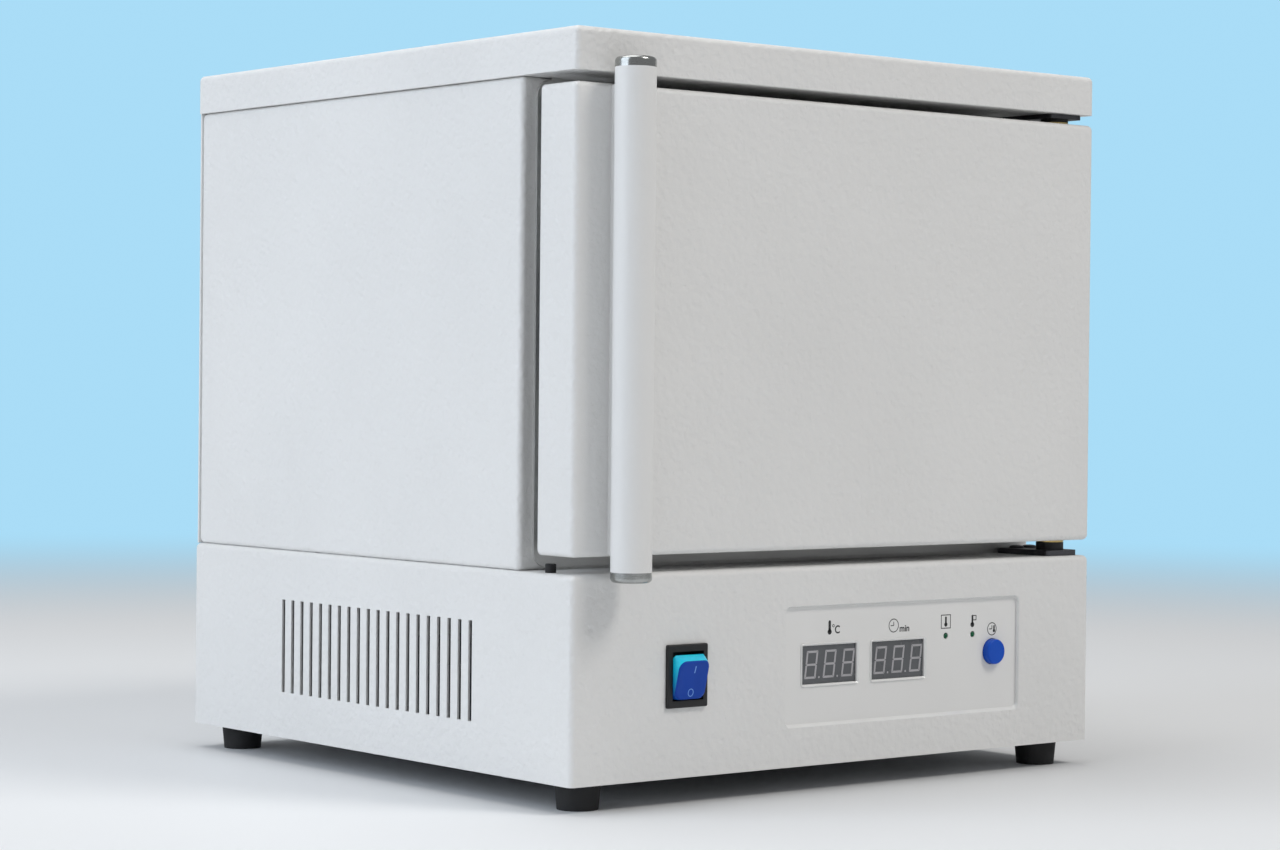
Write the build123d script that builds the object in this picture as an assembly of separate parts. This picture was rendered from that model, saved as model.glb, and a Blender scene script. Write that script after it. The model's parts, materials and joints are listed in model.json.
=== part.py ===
from build123d import *
import os

# Bench-top hot air sterilizer. A control base carries an insulated oven casing with a cover, and a door
# hung on the right. Millimetres. X to the right, Y from the front to the back, Z up.
# The origin is on the standing surface, under the middle of the whole outline.

# Body
body_width = 358.5
body_depth = 346.0
foot_height = 13.5
base_height = 101.0
casing_height = 240.5
cover_height = 21.0
sheet = 1.2
edge_radius = 3.0
casing_inset = 1.2
casing_setback = 44.6
side_flange = 18.0
clearance = 0.3
screw_radius = 2.0
screw_head_radius = 4.0
screw_head_height = 1.6
hole_clearance = 0.2

# Feet
foot_top_radius = 11.5
foot_bottom_radius = 10.2
foot_inset = 20.0
foot_counterbore_radius = 5.0
foot_counterbore_depth = 8.0
foot_screw_tail = 6.0

# Control base
base_lip = 14.0
plate_field_width = 58.0
plate_field_depth = 88.0
plate_slot_width = 4.0
plate_slot_rows = 7
plate_bar = 6.0
vent_count = 20
vent_pitch = 9.0
vent_width = 3.0
vent_bottom_gap = 24.6
vent_top_gap = 26.4
vent_front_gap = 82.0
deck_opening_width = 90.0
deck_opening_depth = 24.0
deck_opening_from_back = 12.0

# Places along the base, from the left, as shares of the body's width
switch_share = 0.1975
pocket_left_share = 0.3794
pocket_right_share = 0.848
temperature_display_share = 0.4689
timer_display_share = 0.6033
lamp_shares = (0.6999, 0.7554)
button_share = 0.7964
inlet_share = 0.809

# Recessed control panel
pocket_bottom_gap = 19.5
pocket_top_gap = 19.8
pocket_corner = 3.0
pocket_depth = 2.0
panel_thickness = 1.5
panel_margin = 10.0
panel_stud_offset = 5.4
panel_stud_radius = 1.5
panel_nut_flats = 5.5
panel_nut_height = 2.4
display_width = 37.2
display_height = 19.4
display_rise = 0.45
display_recess = 0.8
display_gap = 0.15
lamp_radius = 1.5
lamp_flange_radius = 1.9
lamp_flange_depth = 4.5
lamp_spacer_radius = 2.1
lamp_proud = 0.6
lamp_rise = 11.05
button_rise = 1.25
button_radius = 6.65
button_proud = 3.6
button_edge = 1.0
button_gap = 0.35
button_flange_radius = 8.2
button_flange_thickness = 1.2
button_stem_radius = 2.5
button_stem_length = 5.5
button_travel = 1.5
button_switch_size = 12.0
running_clearance = 0.06
board_gap = 10.0
board_thickness = 1.6
board_margin = 4.0
standoff_flats = 5.0
standoff_inset = 5.0

# Mains switch
switch_drop = 0.5
bezel_width = 25.5
bezel_height = 31.0
bezel_proud = 2.0
bezel_edge = 0.8
switch_body_width = 21.6
switch_body_height = 27.4
switch_body_depth = 19.0
rocker_width = 19.2
rocker_side_gap = 0.2
rocker_half_height = 10.2
rocker_reach = 8.0
rocker_hollow = 0.4
rocker_shoulder_reach = 1.5
rocker_shoulder_half_height = 11.4
rocker_heel_depth = 4.0
rocker_heel_half_height = 4.0
rocker_end_gap = 0.4
rocker_tilt = 14.0
pivot_behind_bezel = 3.8
rocker_axle_radius = 1.2
rocker_axle_length = 0.8

# Mains inlet
inlet_flange_width = 50.0
inlet_flange_height = 23.0
inlet_flange_thickness = 2.0
inlet_flange_corner = 3.0
inlet_screw_spacing = 40.0
inlet_body_width = 27.6
inlet_body_height = 20.0
inlet_body_depth = 22.0
inlet_socket_width = 24.2
inlet_socket_height = 16.4
inlet_socket_depth = 17.0
inlet_pin_width = 2.0
inlet_pin_height = 4.0
inlet_pin_length = 11.5
inlet_pin_tail = 7.0
inlet_pin_spacing = 7.0
inlet_earth_pin_rise = 3.0

# Power parts on the base plate
transformer_size = (52.0, 62.0, 52.0)
transformer_bobbin_overhang = 7.0
transformer_from_middle = (-80.0, 30.0)
relay_size = (44.0, 58.0, 26.0)
relay_from_middle = (10.0, 30.0)
terminal_size = (74.0, 22.0, 20.0)
terminal_from_middle = (10.0, 100.0)
terminal_cells = 6
terminal_cell_depth = 8.0
terminal_wall = 2.0

# Casing rear panel
rear_vent_count = 7
rear_vent_width = 110.0
rear_vent_height = 4.0
rear_vent_pitch = 10.0
rear_vent_from_top = 76.0
rear_screws_per_side = 4
rear_panel_upstand = 15.0
cover_screw_count = 3

# Cover and front rails
cover_lip = 7.0
rail_gap = 1.6
rail_tail = 16.0
upper_rail_leg = 14.0
lower_rail_leg = 20.0

# Chamber
chamber_side_wall = 48.05
mouth_margin = 23.3
service_space = 40.2
chamber_corner = 8.0
liner_wall = 1.0
frame_thickness = 1.5
frame_side_margin = 8.3
frame_end_margin = 1.5
frame_corner = 8.0
insulation_behind = 45.0
insulation_clearance = 0.5
element_radius = 4.0
element_height = 16.0
element_side_gap = 40.0
element_bend_ease = 2.0
element_front_gap = 24.0
element_back_gap = 60.0
element_tail = 10.0
terminal_stud_radius = 2.0
terminal_stud_length = 12.0
element_nut_flats = 14.0
element_nut_height = 5.0
grille_height = 28.0
grille_side_gap = 14.0
grille_front_gap = 5.0
grille_back_gap = 15.0
grille_slot_width = 5.0
grille_columns = 3
grille_rows = 11
grille_bar = 14.0
rack_post_width = 14.0
rack_post_inset = 26.0
rack_end_gap = 14.0
rack_thickness = 1.5
runner_reach = 12.0
runner_upstand = 7.0
runner_front_gap = 8.0
runner_back_gap = 26.0
runner_count = 4
lowest_runner_height = 50.0
highest_runner_gap = 40.0
tray_side_gap = 1.5
tray_lift = 0.3
tray_front_gap = 26.0
tray_back_gap = 8.0
tray_height = 15.0
tray_wall = 1.0
tray_corner = 9.0
tray_slot_width = 5.0
tray_columns = 4
tray_rows = 9
tray_bar = 12.0
probe_radius = 2.5
probe_reach = 50.0
probe_from_middle = 60.0
probe_below_roof = 22.0
probe_nut_flats = 10.0
probe_nut_height = 4.0
cutout_radius = 9.0
cutout_height = 9.0
cutout_from_middle = -60.0
cutout_rise = 40.0

# Door
door_bottom_gap = 8.5
door_top_gap = 5.4
door_depth = 27.5
door_lip = 9.0
inner_panel_thickness = 1.0
plateau_rise = 7.2
plateau_corner = 14.0
gasket_width = 12.0
gasket_overlap = 4.0
gasket_edge = 3.0
inner_panel_screw_inset = 5.6
door_fill_gap = 0.8

# Hinge
pivot_from_right = 17.0
pivot_behind_front = 13.6
hinge_plate_half_width = 11.5
hinge_plate_corner = 2.0
hinge_plate_front = 4.0
upper_plate_thickness = 2.5
lower_plate_thickness = 3.0
hinge_pin_radius = 3.0
hinge_pin_reach = 11.0
collar_radius = 7.5
bush_radius = 5.0
bush_length = 12.0
bush_flange_radius = 7.5
bush_flange_thickness = 1.2
hinge_screw_spacing = 10.0
hinge_screw_behind_pivot = 20.0
hinge_screw_length = 7.0

# Handle
handle_from_left = 24.5
handle_standoff = 14.0
handle_radius = 10.0
handle_wall = 2.0
handle_overhang = 6.7
web_thickness = 7.0
web_end_setback = 1.5
web_flare = 5.5
cap_height = 5.0
cap_edge = 2.2
cap_spigot_length = 8.0
cap_spigot_gap = 0.1
handle_screw_count = 3
handle_screw_inset = 18.3

# Door catch and rest
magnet_from_left = 15.0
magnet_width = 11.0
magnet_height = 50.0
magnet_depth = 11.0
rest_from_left = 6.6
rest_behind_front = 25.6
rest_radius = 2.7
rest_height = 4.4

# Planes worked out from the sizes above
half_width = body_width / 2
left = -half_width
handle_reach = handle_standoff + handle_radius
front = (handle_reach - body_depth - inlet_flange_thickness) / 2
back = front + body_depth
middle_y = front + body_depth / 2
base_bottom = foot_height
plate_top = base_bottom + sheet
deck = base_bottom + base_height
casing_top = deck + casing_height
cover_top = casing_top + cover_height
casing_half = half_width - casing_inset
casing_front = front + casing_setback
casing_back = back - casing_inset
panel_front = front + pocket_depth
panel_back = panel_front + panel_thickness
board_front = panel_back + board_gap
base_middle_z = base_bottom + base_height / 2
pocket_width = body_width * (pocket_right_share - pocket_left_share)
pocket_height = base_height - pocket_bottom_gap - pocket_top_gap
pocket_x = left + body_width * (pocket_right_share + pocket_left_share) / 2
pocket_z = base_bottom + pocket_bottom_gap + pocket_height / 2
switch_x = left + body_width * switch_share
switch_z = base_middle_z - switch_drop
button_x = left + body_width * button_share
button_z = pocket_z + button_rise
inlet_x = left + body_width * inlet_share
inlet_z = base_middle_z
door_bottom = deck + door_bottom_gap
door_top = casing_top - door_top_gap
door_height = door_top - door_bottom
door_z = (door_bottom + door_top) / 2
door_back = front + door_depth
plateau_face = door_back + plateau_rise
frame_front = casing_front - frame_thickness
mouth_width = 2 * (casing_half - chamber_side_wall)
mouth_height = door_height - 2 * mouth_margin
chamber_floor = door_z - mouth_height / 2
chamber_roof = door_z + mouth_height / 2
insulation_back = casing_back - service_space
liner_back = insulation_back - insulation_behind
chamber_back = liner_back - liner_wall
chamber_depth = chamber_back - casing_front
element_outer_leg = mouth_width / 2 - element_side_gap
element_inner_leg = element_outer_leg / 3
grille_half_width = mouth_width / 2 - grille_side_gap
runner_front = casing_front + runner_front_gap
runner_back = chamber_back - runner_back_gap
lowest_runner = chamber_floor + lowest_runner_height
highest_runner = chamber_roof - highest_runner_gap
runner_pitch = (highest_runner - lowest_runner) / (runner_count - 1)
pivot_x = half_width - pivot_from_right
pivot_y = front + pivot_behind_front
handle_x = left + handle_from_left
handle_y = front - handle_standoff
tray_half_width = mouth_width / 2 - rack_thickness - tray_side_gap
tray_back = chamber_back - tray_back_gap
tray_depth = tray_back - casing_front - tray_front_gap
lower_tray_bottom = lowest_runner + tray_lift
upper_tray_bottom = lower_tray_bottom + 2 * runner_pitch
handle_length = door_height + 2 * handle_overhang


# Shapes used by many pieces
def middle(span):
    return (span[0] + span[1]) / 2


def block(x_span, y_span, z_span):
    size = [span[1] - span[0] for span in (x_span, y_span, z_span)]
    return Pos(middle(x_span), middle(y_span), middle(z_span)) * Box(*size)


def rod_z(x, y, radius, z_span):
    return Pos(x, y, middle(z_span)) * Cylinder(radius, z_span[1] - z_span[0])


def rod_y(x, z, radius, y_span):
    return Pos(x, middle(y_span), z) * Rot(90, 0, 0) * Cylinder(radius, y_span[1] - y_span[0])


def hexagon_y(x, z, flats, y_span, bore):
    plane = Plane(origin=(x, y_span[0], z), x_dir=(1, 0, 0), z_dir=(0, 1, 0))
    outline = RegularPolygon(flats / 2, 6, major_radius=False) - Circle(bore)
    return extrude(plane * outline, y_span[1] - y_span[0])


def upright_plate(width, height, corner, y_span, x=0.0, z=0.0):
    plane = Plane(origin=(x, y_span[0], z), x_dir=(1, 0, 0), z_dir=(0, 1, 0))
    return extrude(plane * RectangleRounded(width, height, corner), y_span[1] - y_span[0])


def inside_bend(radius, wall):
    return max(radius - wall, wall / 4)


def folded_pan(width, depth, height, wall, radius):
    """Sheet pan that stands on its open side, with every outside bend rounded."""
    outer = Pos(0, 0, height / 2) * Box(width, depth, height)
    outer = fillet(outer.edges().filter_by(Axis.Z) + outer.edges().group_by(Axis.Z)[-1], radius)
    core = Pos(0, 0, (height - wall) / 2) * Box(width - 2 * wall, depth - 2 * wall, height - wall)
    bends = core.edges().filter_by(Axis.Z) + core.edges().group_by(Axis.Z)[-1]
    return outer - fillet(bends, inside_bend(radius, wall))


def screw_down(x, y, z_seat, length, direction):
    """Pan head screw along Z. Its head sits on z_seat and its shank runs along direction."""
    head_end = z_seat - direction * screw_head_height
    tip = z_seat + direction * length
    head = rod_z(x, y, screw_head_radius, sorted((z_seat, head_end)))
    return head + rod_z(x, y, screw_radius, sorted((head_end, tip)))


def screw_in(x, z, y_seat, length, direction):
    """Pan head screw along Y. Its head sits on y_seat and its shank runs along direction."""
    head_end = y_seat - direction * screw_head_height
    tip = y_seat + direction * length
    head = rod_y(x, z, screw_head_radius, sorted((y_seat, head_end)))
    return head + rod_y(x, z, screw_radius, sorted((head_end, tip)))


def spread(count, pitch):
    return [(index - (count - 1) / 2) * pitch for index in range(count)]


def slot_field(width, depth, columns, rows, bar, slot_width, thickness):
    """Slots in even columns and rows over a rectangle, centred on the origin."""
    column = (width - bar) / columns
    row = (depth - bar) / rows
    slot = Box(column - bar, slot_width, 2 * thickness)
    return [Pos(x, y, 0) * slot for x in spread(columns, column) for y in spread(rows, row)]


# Places that two or more pieces share
foot_places = [
    (side * (half_width - foot_inset), y)
    for side in (-1, 1)
    for y in (front + foot_inset, back - foot_inset)
]
base_screw_places = [
    (side * (half_width - sheet - base_lip / 2), y)
    for side in (-1, 1)
    for y in (front + 3 * foot_inset, middle_y, back - 3 * foot_inset)
]
panel_stud_places = [
    (pocket_x + side * (pocket_width / 2 + panel_stud_offset), pocket_z + end * pocket_height / 4)
    for side in (-1, 1)
    for end in (-1, 1)
]
standoff_places = [
    (
        pocket_x + side * (pocket_width / 2 - board_margin - standoff_inset),
        pocket_z + end * (pocket_height / 2 - board_margin - standoff_inset),
    )
    for side in (-1, 1)
    for end in (-1, 1)
]
hinge_screw_places = [
    (pivot_x + offset, pivot_y + hinge_screw_behind_pivot) for offset in spread(2, hinge_screw_spacing)
]
rear_screw_places = [
    (side * (casing_half - side_flange / 2), middle((deck, casing_top)) + rise)
    for side in (-1, 1)
    for rise in spread(rear_screws_per_side, casing_height / rear_screws_per_side)
]
cover_screw_places = [
    (x, casing_top + rear_panel_upstand / 2)
    for x in spread(cover_screw_count, body_width / cover_screw_count)
]
inner_panel_screw_places = [
    (side * (half_width - sheet - inner_panel_screw_inset), door_z + rise)
    for side in (-1, 1)
    for rise in spread(3, door_height / 2 - sheet - inner_panel_screw_inset)
]
inlet_screw_places = [(inlet_x + offset, inlet_z) for offset in spread(2, inlet_screw_spacing)]
inlet_pin_places = [
    (inlet_x - inlet_pin_spacing, inlet_z - inlet_earth_pin_rise / 2),
    (inlet_x, inlet_z + inlet_earth_pin_rise / 2),
    (inlet_x + inlet_pin_spacing, inlet_z - inlet_earth_pin_rise / 2),
]
element_exits = [(side * element_outer_leg, chamber_floor + element_height) for side in (-1, 1)]
probe_place = (probe_from_middle, chamber_roof - probe_below_roof)
cutout_place = (cutout_from_middle, door_z + cutout_rise)
handle_screw_heights = spread(handle_screw_count, door_height / 2 - handle_screw_inset)


# Feet and base plate
def make_rubber_feet():
    feet = []
    for x, y in foot_places:
        foot = Pos(x, y, foot_height / 2) * Cone(foot_bottom_radius, foot_top_radius, foot_height)
        foot -= rod_z(x, y, foot_counterbore_radius, (0, foot_counterbore_depth))
        foot -= rod_z(x, y, screw_radius + hole_clearance, (0, foot_height))
        feet.append(foot)
    return feet


def make_foot_screws():
    length = foot_height - foot_counterbore_depth + sheet + foot_screw_tail
    return [screw_down(x, y, foot_counterbore_depth, length, 1) for x, y in foot_places]


def make_base_plate():
    gap = sheet + clearance
    plate = block(
        (left + gap, half_width - gap), (front + gap, back - gap), (base_bottom, plate_top)
    )
    plate = fillet(plate.edges().filter_by(Axis.Z), edge_radius)
    hole = screw_radius + hole_clearance
    holes = [rod_z(x, y, hole, (base_bottom, plate_top)) for x, y in foot_places + base_screw_places]
    slots = slot_field(
        plate_field_width, plate_field_depth, 1, plate_slot_rows, plate_bar, plate_slot_width, sheet
    )
    fields = [Pos(x, middle_y, plate_top) * slot for x in spread(2, body_width / 2) for slot in slots]
    return plate - (holes + fields)


def make_base_plate_screws():
    return [screw_down(x, y, base_bottom, 3 * sheet, 1) for x, y in base_screw_places]


# Base housing
def base_vents():
    vent_z = (base_bottom + vent_bottom_gap, deck - vent_top_gap)
    vents = []
    for index in range(vent_count):
        y = front + vent_front_gap + index * vent_pitch
        for side in (-1, 1):
            x_span = (side * half_width - 2 * sheet, side * half_width + 2 * sheet)
            vents.append(block(x_span, (y - vent_width / 2, y + vent_width / 2), vent_z))
    return vents


def pocket_outline(grow, y_span):
    width, height = pocket_width + 2 * grow, pocket_height + 2 * grow
    return upright_plate(width, height, pocket_corner + grow, y_span, pocket_x, pocket_z)


def make_base_housing():
    shell = folded_pan(body_width, body_depth, base_height, sheet, edge_radius)
    shell = Pos(0, middle_y, base_bottom) * shell
    lip_z = (plate_top, plate_top + sheet)
    lip = Pos(0, middle_y, middle(lip_z)) * Box(body_width - sheet, body_depth - sheet, sheet)
    lip = fillet(lip.edges().filter_by(Axis.Z), edge_radius - sheet / 2)
    inset = 2 * (sheet + base_lip)
    lip -= Pos(0, middle_y, middle(lip_z)) * Box(body_width - inset, body_depth - inset, sheet)
    shell += lip
    shell += pocket_outline(sheet, (front + sheet / 2, panel_front))
    shell -= pocket_outline(0, (front - sheet, panel_front))
    shell += [
        rod_y(x, z, panel_stud_radius, (front + sheet / 2, panel_back + 2 * panel_nut_height))
        for x, z in panel_stud_places
    ]
    shell -= base_vents()
    shell -= block(
        (switch_x - switch_body_width / 2 - clearance, switch_x + switch_body_width / 2 + clearance),
        (front - sheet, front + 2 * sheet),
        (switch_z - switch_body_height / 2 - clearance, switch_z + switch_body_height / 2 + clearance),
    )
    shell -= block(
        (inlet_x - inlet_body_width / 2 - clearance, inlet_x + inlet_body_width / 2 + clearance),
        (back - 2 * sheet, back + sheet),
        (inlet_z - inlet_body_height / 2 - clearance, inlet_z + inlet_body_height / 2 + clearance),
    )
    opening_back = casing_back - deck_opening_from_back
    shell -= block(
        (-deck_opening_width / 2, deck_opening_width / 2),
        (opening_back - deck_opening_depth, opening_back),
        (deck - 2 * sheet, deck + sheet),
    )
    hole = screw_radius + hole_clearance
    shell -= [rod_y(x, z, hole, (back - 2 * sheet, back + sheet)) for x, z in inlet_screw_places]
    shell -= [rod_z(x, y, hole, (deck - 2 * sheet, deck + sheet)) for x, y in hinge_screw_places]
    shell -= [rod_z(x, y, hole, (plate_top, plate_top + sheet)) for x, y in base_screw_places]
    shell -= [rod_z(x, y, hole, (plate_top, plate_top + sheet)) for x, y in foot_places]
    return shell


# Control panel
def display_places():
    shares = (temperature_display_share, timer_display_share)
    return [(left + body_width * share, pocket_z + display_rise) for share in shares]


def lamp_places():
    return [(left + body_width * share, pocket_z + lamp_rise) for share in lamp_shares]


def make_control_panel():
    panel = pocket_outline(panel_margin, (panel_front, panel_back))
    for x, z in display_places():
        width, height = display_width / 2 + display_gap, display_height / 2 + display_gap
        panel -= block((x - width, x + width), (panel_front, panel_back), (z - height, z + height))
    through = (panel_front, panel_back)
    panel -= [rod_y(x, z, lamp_radius + display_gap, through) for x, z in lamp_places()]
    panel -= rod_y(button_x, button_z, button_radius + button_gap, through)
    panel -= [rod_y(x, z, panel_stud_radius + hole_clearance, through) for x, z in panel_stud_places]
    return panel


def make_panel_nuts():
    span = (panel_back, panel_back + panel_nut_height)
    return [hexagon_y(x, z, panel_nut_flats, span, panel_stud_radius) for x, z in panel_stud_places]


def make_display(place):
    y_span = (panel_front + display_recess, board_front)
    return upright_plate(display_width, display_height, display_gap, y_span, *place)


def make_indicator_lamps():
    lamps = []
    for x, z in lamp_places():
        tip = panel_front - lamp_proud
        flange_back = tip + lamp_flange_depth
        lamp = rod_y(x, z, lamp_radius, (tip + lamp_radius, board_front))
        lamp += Pos(x, tip + lamp_radius, z) * Sphere(lamp_radius)
        lamp += rod_y(x, z, lamp_flange_radius, (flange_back - lamp_proud, flange_back))
        lamp += rod_y(x, z, lamp_spacer_radius, (flange_back, board_front))
        lamps.append(lamp)
    return lamps


def make_timer_button():
    flange_front = panel_back + clearance
    flange_back = flange_front + button_flange_thickness
    cap = rod_y(button_x, button_z, button_radius, (panel_front - button_proud, flange_back))
    cap = fillet(cap.edges().group_by(Axis.Y)[0], button_edge)
    cap += rod_y(button_x, button_z, button_flange_radius, (flange_front, flange_back))
    cap += rod_y(button_x, button_z, button_stem_radius, (flange_back, flange_back + button_stem_length))
    return cap


def make_button_switch():
    half = button_switch_size / 2
    pressed_flange = panel_back + clearance + button_flange_thickness + button_travel
    switch = block(
        (button_x - half, button_x + half),
        (pressed_flange + clearance, board_front),
        (button_z - half, button_z + half),
    )
    bore_end = pressed_flange + button_stem_length + clearance
    bore = button_stem_radius + running_clearance
    return switch - rod_y(button_x, button_z, bore, (pressed_flange, bore_end))


def make_control_board():
    width, height = pocket_width - 2 * board_margin, pocket_height - 2 * board_margin
    span = (board_front, board_front + board_thickness)
    board = upright_plate(width, height, pocket_corner, span, pocket_x, pocket_z)
    chip_z = pocket_z - pocket_height / 8
    chips = [
        block(
            (pocket_x + x - standoff_flats, pocket_x + x + standoff_flats),
            (span[1] - board_thickness / 2, span[1] + 2 * board_thickness),
            (chip_z - 2 * standoff_flats, chip_z + standoff_flats),
        )
        for x in spread(3, pocket_width / 4)
    ]
    return board + chips


def make_board_standoffs():
    return [
        hexagon_y(x, z, standoff_flats, (panel_back, board_front), panel_stud_radius)
        for x, z in standoff_places
    ]


# Mains switch
bezel_front = front - bezel_proud
rocker_pivot_y = bezel_front + pivot_behind_bezel


def make_switch_housing():
    bezel = upright_plate(bezel_width, bezel_height, bezel_edge, (bezel_front, front), switch_x, switch_z)
    bezel = fillet(bezel.edges().group_by(Axis.Y)[0], bezel_edge)
    half_w, half_h = switch_body_width / 2, switch_body_height / 2
    body = block(
        (switch_x - half_w, switch_x + half_w),
        (front - bezel_proud / 2, front + switch_body_depth),
        (switch_z - half_h, switch_z + half_h),
    )
    housing = bezel + body
    well_half = rocker_width / 2 + rocker_side_gap
    opening_half = rocker_shoulder_half_height + rocker_end_gap + rocker_side_gap
    well_back = rocker_pivot_y + rocker_shoulder_half_height / 2
    housing -= block(
        (switch_x - well_half, switch_x + well_half),
        (bezel_front - bezel_proud, well_back),
        (switch_z - opening_half, switch_z + opening_half),
    )
    axle_half = well_half + rocker_axle_length
    axle_hole = Cylinder(rocker_axle_radius + running_clearance, 2 * axle_half)
    housing -= Pos(switch_x, rocker_pivot_y, switch_z) * Rot(0, 90, 0) * axle_hole
    return housing


def make_power_rocker():
    top_front = (-rocker_reach, rocker_half_height)
    bottom_front = (-rocker_reach, -rocker_half_height)
    dish = ThreePointArc(top_front, (rocker_hollow - rocker_reach, 0), bottom_front)
    back_line = Polyline(
        bottom_front,
        (-rocker_shoulder_reach, -rocker_shoulder_half_height),
        (rocker_heel_depth, -rocker_heel_half_height),
        (rocker_heel_depth, rocker_heel_half_height),
        (-rocker_shoulder_reach, rocker_shoulder_half_height),
        top_front,
    )
    profile = Plane.YZ * make_face(dish + back_line)
    rocker = extrude(profile, rocker_width / 2, both=True)
    rocker = fillet(rocker.edges().filter_by(GeomType.CIRCLE), bezel_edge)
    rocker += Rot(0, 90, 0) * Cylinder(rocker_axle_radius, rocker_width + 2 * rocker_axle_length)
    return Pos(switch_x, rocker_pivot_y, switch_z) * Rot(rocker_tilt, 0, 0) * rocker


# Mains inlet
def make_mains_inlet():
    flange_span = (back, back + inlet_flange_thickness)
    inlet = upright_plate(
        inlet_flange_width, inlet_flange_height, inlet_flange_corner, flange_span, inlet_x, inlet_z
    )
    half_w, half_h = inlet_body_width / 2, inlet_body_height / 2
    inlet += block(
        (inlet_x - half_w, inlet_x + half_w),
        (back - inlet_body_depth, back + sheet),
        (inlet_z - half_h, inlet_z + half_h),
    )
    outer_face = back + inlet_flange_thickness
    half_w, half_h = inlet_socket_width / 2, inlet_socket_height / 2
    inlet -= block(
        (inlet_x - half_w, inlet_x + half_w),
        (outer_face - inlet_socket_depth, outer_face),
        (inlet_z - half_h, inlet_z + half_h),
    )
    for x, z in inlet_screw_places:
        inlet -= rod_y(x, z, screw_radius + hole_clearance, flange_span)
        inlet -= rod_y(x, z, screw_head_radius + hole_clearance, (outer_face - screw_head_height, outer_face))
    for x, z in inlet_pin_places:
        inlet -= block(
            (x - inlet_pin_width / 2, x + inlet_pin_width / 2),
            (back - inlet_body_depth, outer_face),
            (z - inlet_pin_height / 2, z + inlet_pin_height / 2),
        )
    return inlet


def make_inlet_pins():
    socket_floor = back + inlet_flange_thickness - inlet_socket_depth
    return [
        block(
            (x - inlet_pin_width / 2, x + inlet_pin_width / 2),
            (back - inlet_body_depth - inlet_pin_tail, socket_floor + inlet_pin_length),
            (z - inlet_pin_height / 2, z + inlet_pin_height / 2),
        )
        for x, z in inlet_pin_places
    ]


def make_inlet_screws():
    seat = back + inlet_flange_thickness - screw_head_height
    return [screw_in(x, z, seat, 4 * sheet, -1) for x, z in inlet_screw_places]


# Power parts
def on_plate(size, place):
    x, y = place
    return Pos(x, middle_y + y, plate_top + size[2] / 2) * Box(*size)


def make_power_transformer():
    core = on_plate(transformer_size, transformer_from_middle)
    width, depth, height = transformer_size
    bobbin_size = (width + 2 * transformer_bobbin_overhang, depth / 2, height / 2)
    x, y = transformer_from_middle
    bobbin = Pos(x, middle_y + y, plate_top + height / 2) * Box(*bobbin_size)
    return core + bobbin


def make_heater_relay():
    relay = on_plate(relay_size, relay_from_middle)
    return chamfer(relay.edges().group_by(Axis.Z)[-1], sheet)


def make_terminal_block():
    width, depth, height = terminal_size
    x, y = terminal_from_middle
    terminals = on_plate(terminal_size, terminal_from_middle)
    cell = width / terminal_cells
    cells = [
        Pos(x + offset, middle_y + y, plate_top + height - terminal_cell_depth / 2)
        * Box(cell - terminal_wall, depth - 4 * terminal_wall, terminal_cell_depth)
        for offset in spread(terminal_cells, cell)
    ]
    return terminals - cells


# Casing
def make_side_panel(side):
    depth = casing_back - sheet - casing_front
    pan = folded_pan(casing_height, depth, side_flange, sheet, edge_radius)
    origin = (side * (casing_half - side_flange), casing_front + depth / 2, middle((deck, casing_top)))
    panel = Plane(origin=origin, x_dir=(0, 0, -side), z_dir=(side, 0, 0)) * pan
    hole = screw_radius + hole_clearance
    through = (casing_back - 3 * sheet, casing_back)
    return panel - [rod_y(x, z, hole, through) for x, z in rear_screw_places if x * side > 0]


def make_rear_panel():
    span = (casing_back - sheet, casing_back)
    panel = block((-casing_half, casing_half), span, (deck, casing_top))
    upstand_half = casing_half - edge_radius
    panel += block((-upstand_half, upstand_half), span, (casing_top, casing_top + rear_panel_upstand))
    vent = Box(rear_vent_width, 2 * sheet, rear_vent_height)
    vent_z = casing_top - rear_vent_from_top
    vents = [Pos(0, middle(span), vent_z + rise) * vent for rise in spread(rear_vent_count, rear_vent_pitch)]
    hole = screw_radius + hole_clearance
    holes = [rod_y(x, z, hole, span) for x, z in rear_screw_places + cover_screw_places]
    return panel - (vents + holes)


def make_rear_panel_screws():
    return [screw_in(x, z, casing_back, 5 * sheet, -1) for x, z in rear_screw_places]


def make_top_cover():
    cover = folded_pan(body_width, body_depth, cover_height, sheet, edge_radius)
    cover = Pos(0, middle_y, casing_top) * cover
    lip_back = casing_back - sheet - clearance
    for side in (-1, 1):
        x_span = sorted((side * (half_width - sheet / 2), side * (half_width - sheet - cover_lip)))
        cover += block(x_span, (front + edge_radius, lip_back), (casing_top, casing_top + sheet))
    hole = screw_radius + hole_clearance
    return cover - [rod_y(x, z, hole, (back - 2 * sheet, back)) for x, z in cover_screw_places]


def make_cover_screws():
    return [screw_in(x, z, back, 5 * sheet, -1) for x, z in cover_screw_places]


def make_upper_front_rail():
    shelf_half = half_width - sheet - cover_lip - clearance
    leg_half = casing_half - side_flange - clearance
    shelf_depth = (front + sheet + rail_gap, casing_front + rail_tail)
    shelf_z = (casing_top, casing_top + sheet)
    leg_z = (casing_top - upper_rail_leg, casing_top + sheet)
    rail = block((-shelf_half, shelf_half), shelf_depth, shelf_z)
    rail += block((-leg_half, leg_half), (casing_front, casing_front + sheet), leg_z)
    hole = screw_radius + hole_clearance
    return rail - [rod_z(x, y, hole, shelf_z) for x, y in hinge_screw_places]


def make_lower_front_rail():
    half = casing_half - side_flange - clearance
    rail = block((-half, half), (casing_front, casing_front + rail_tail), (deck, deck + sheet))
    rail += block((-half, half), (casing_front, casing_front + sheet), (deck, deck + lower_rail_leg))
    return rail


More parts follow.
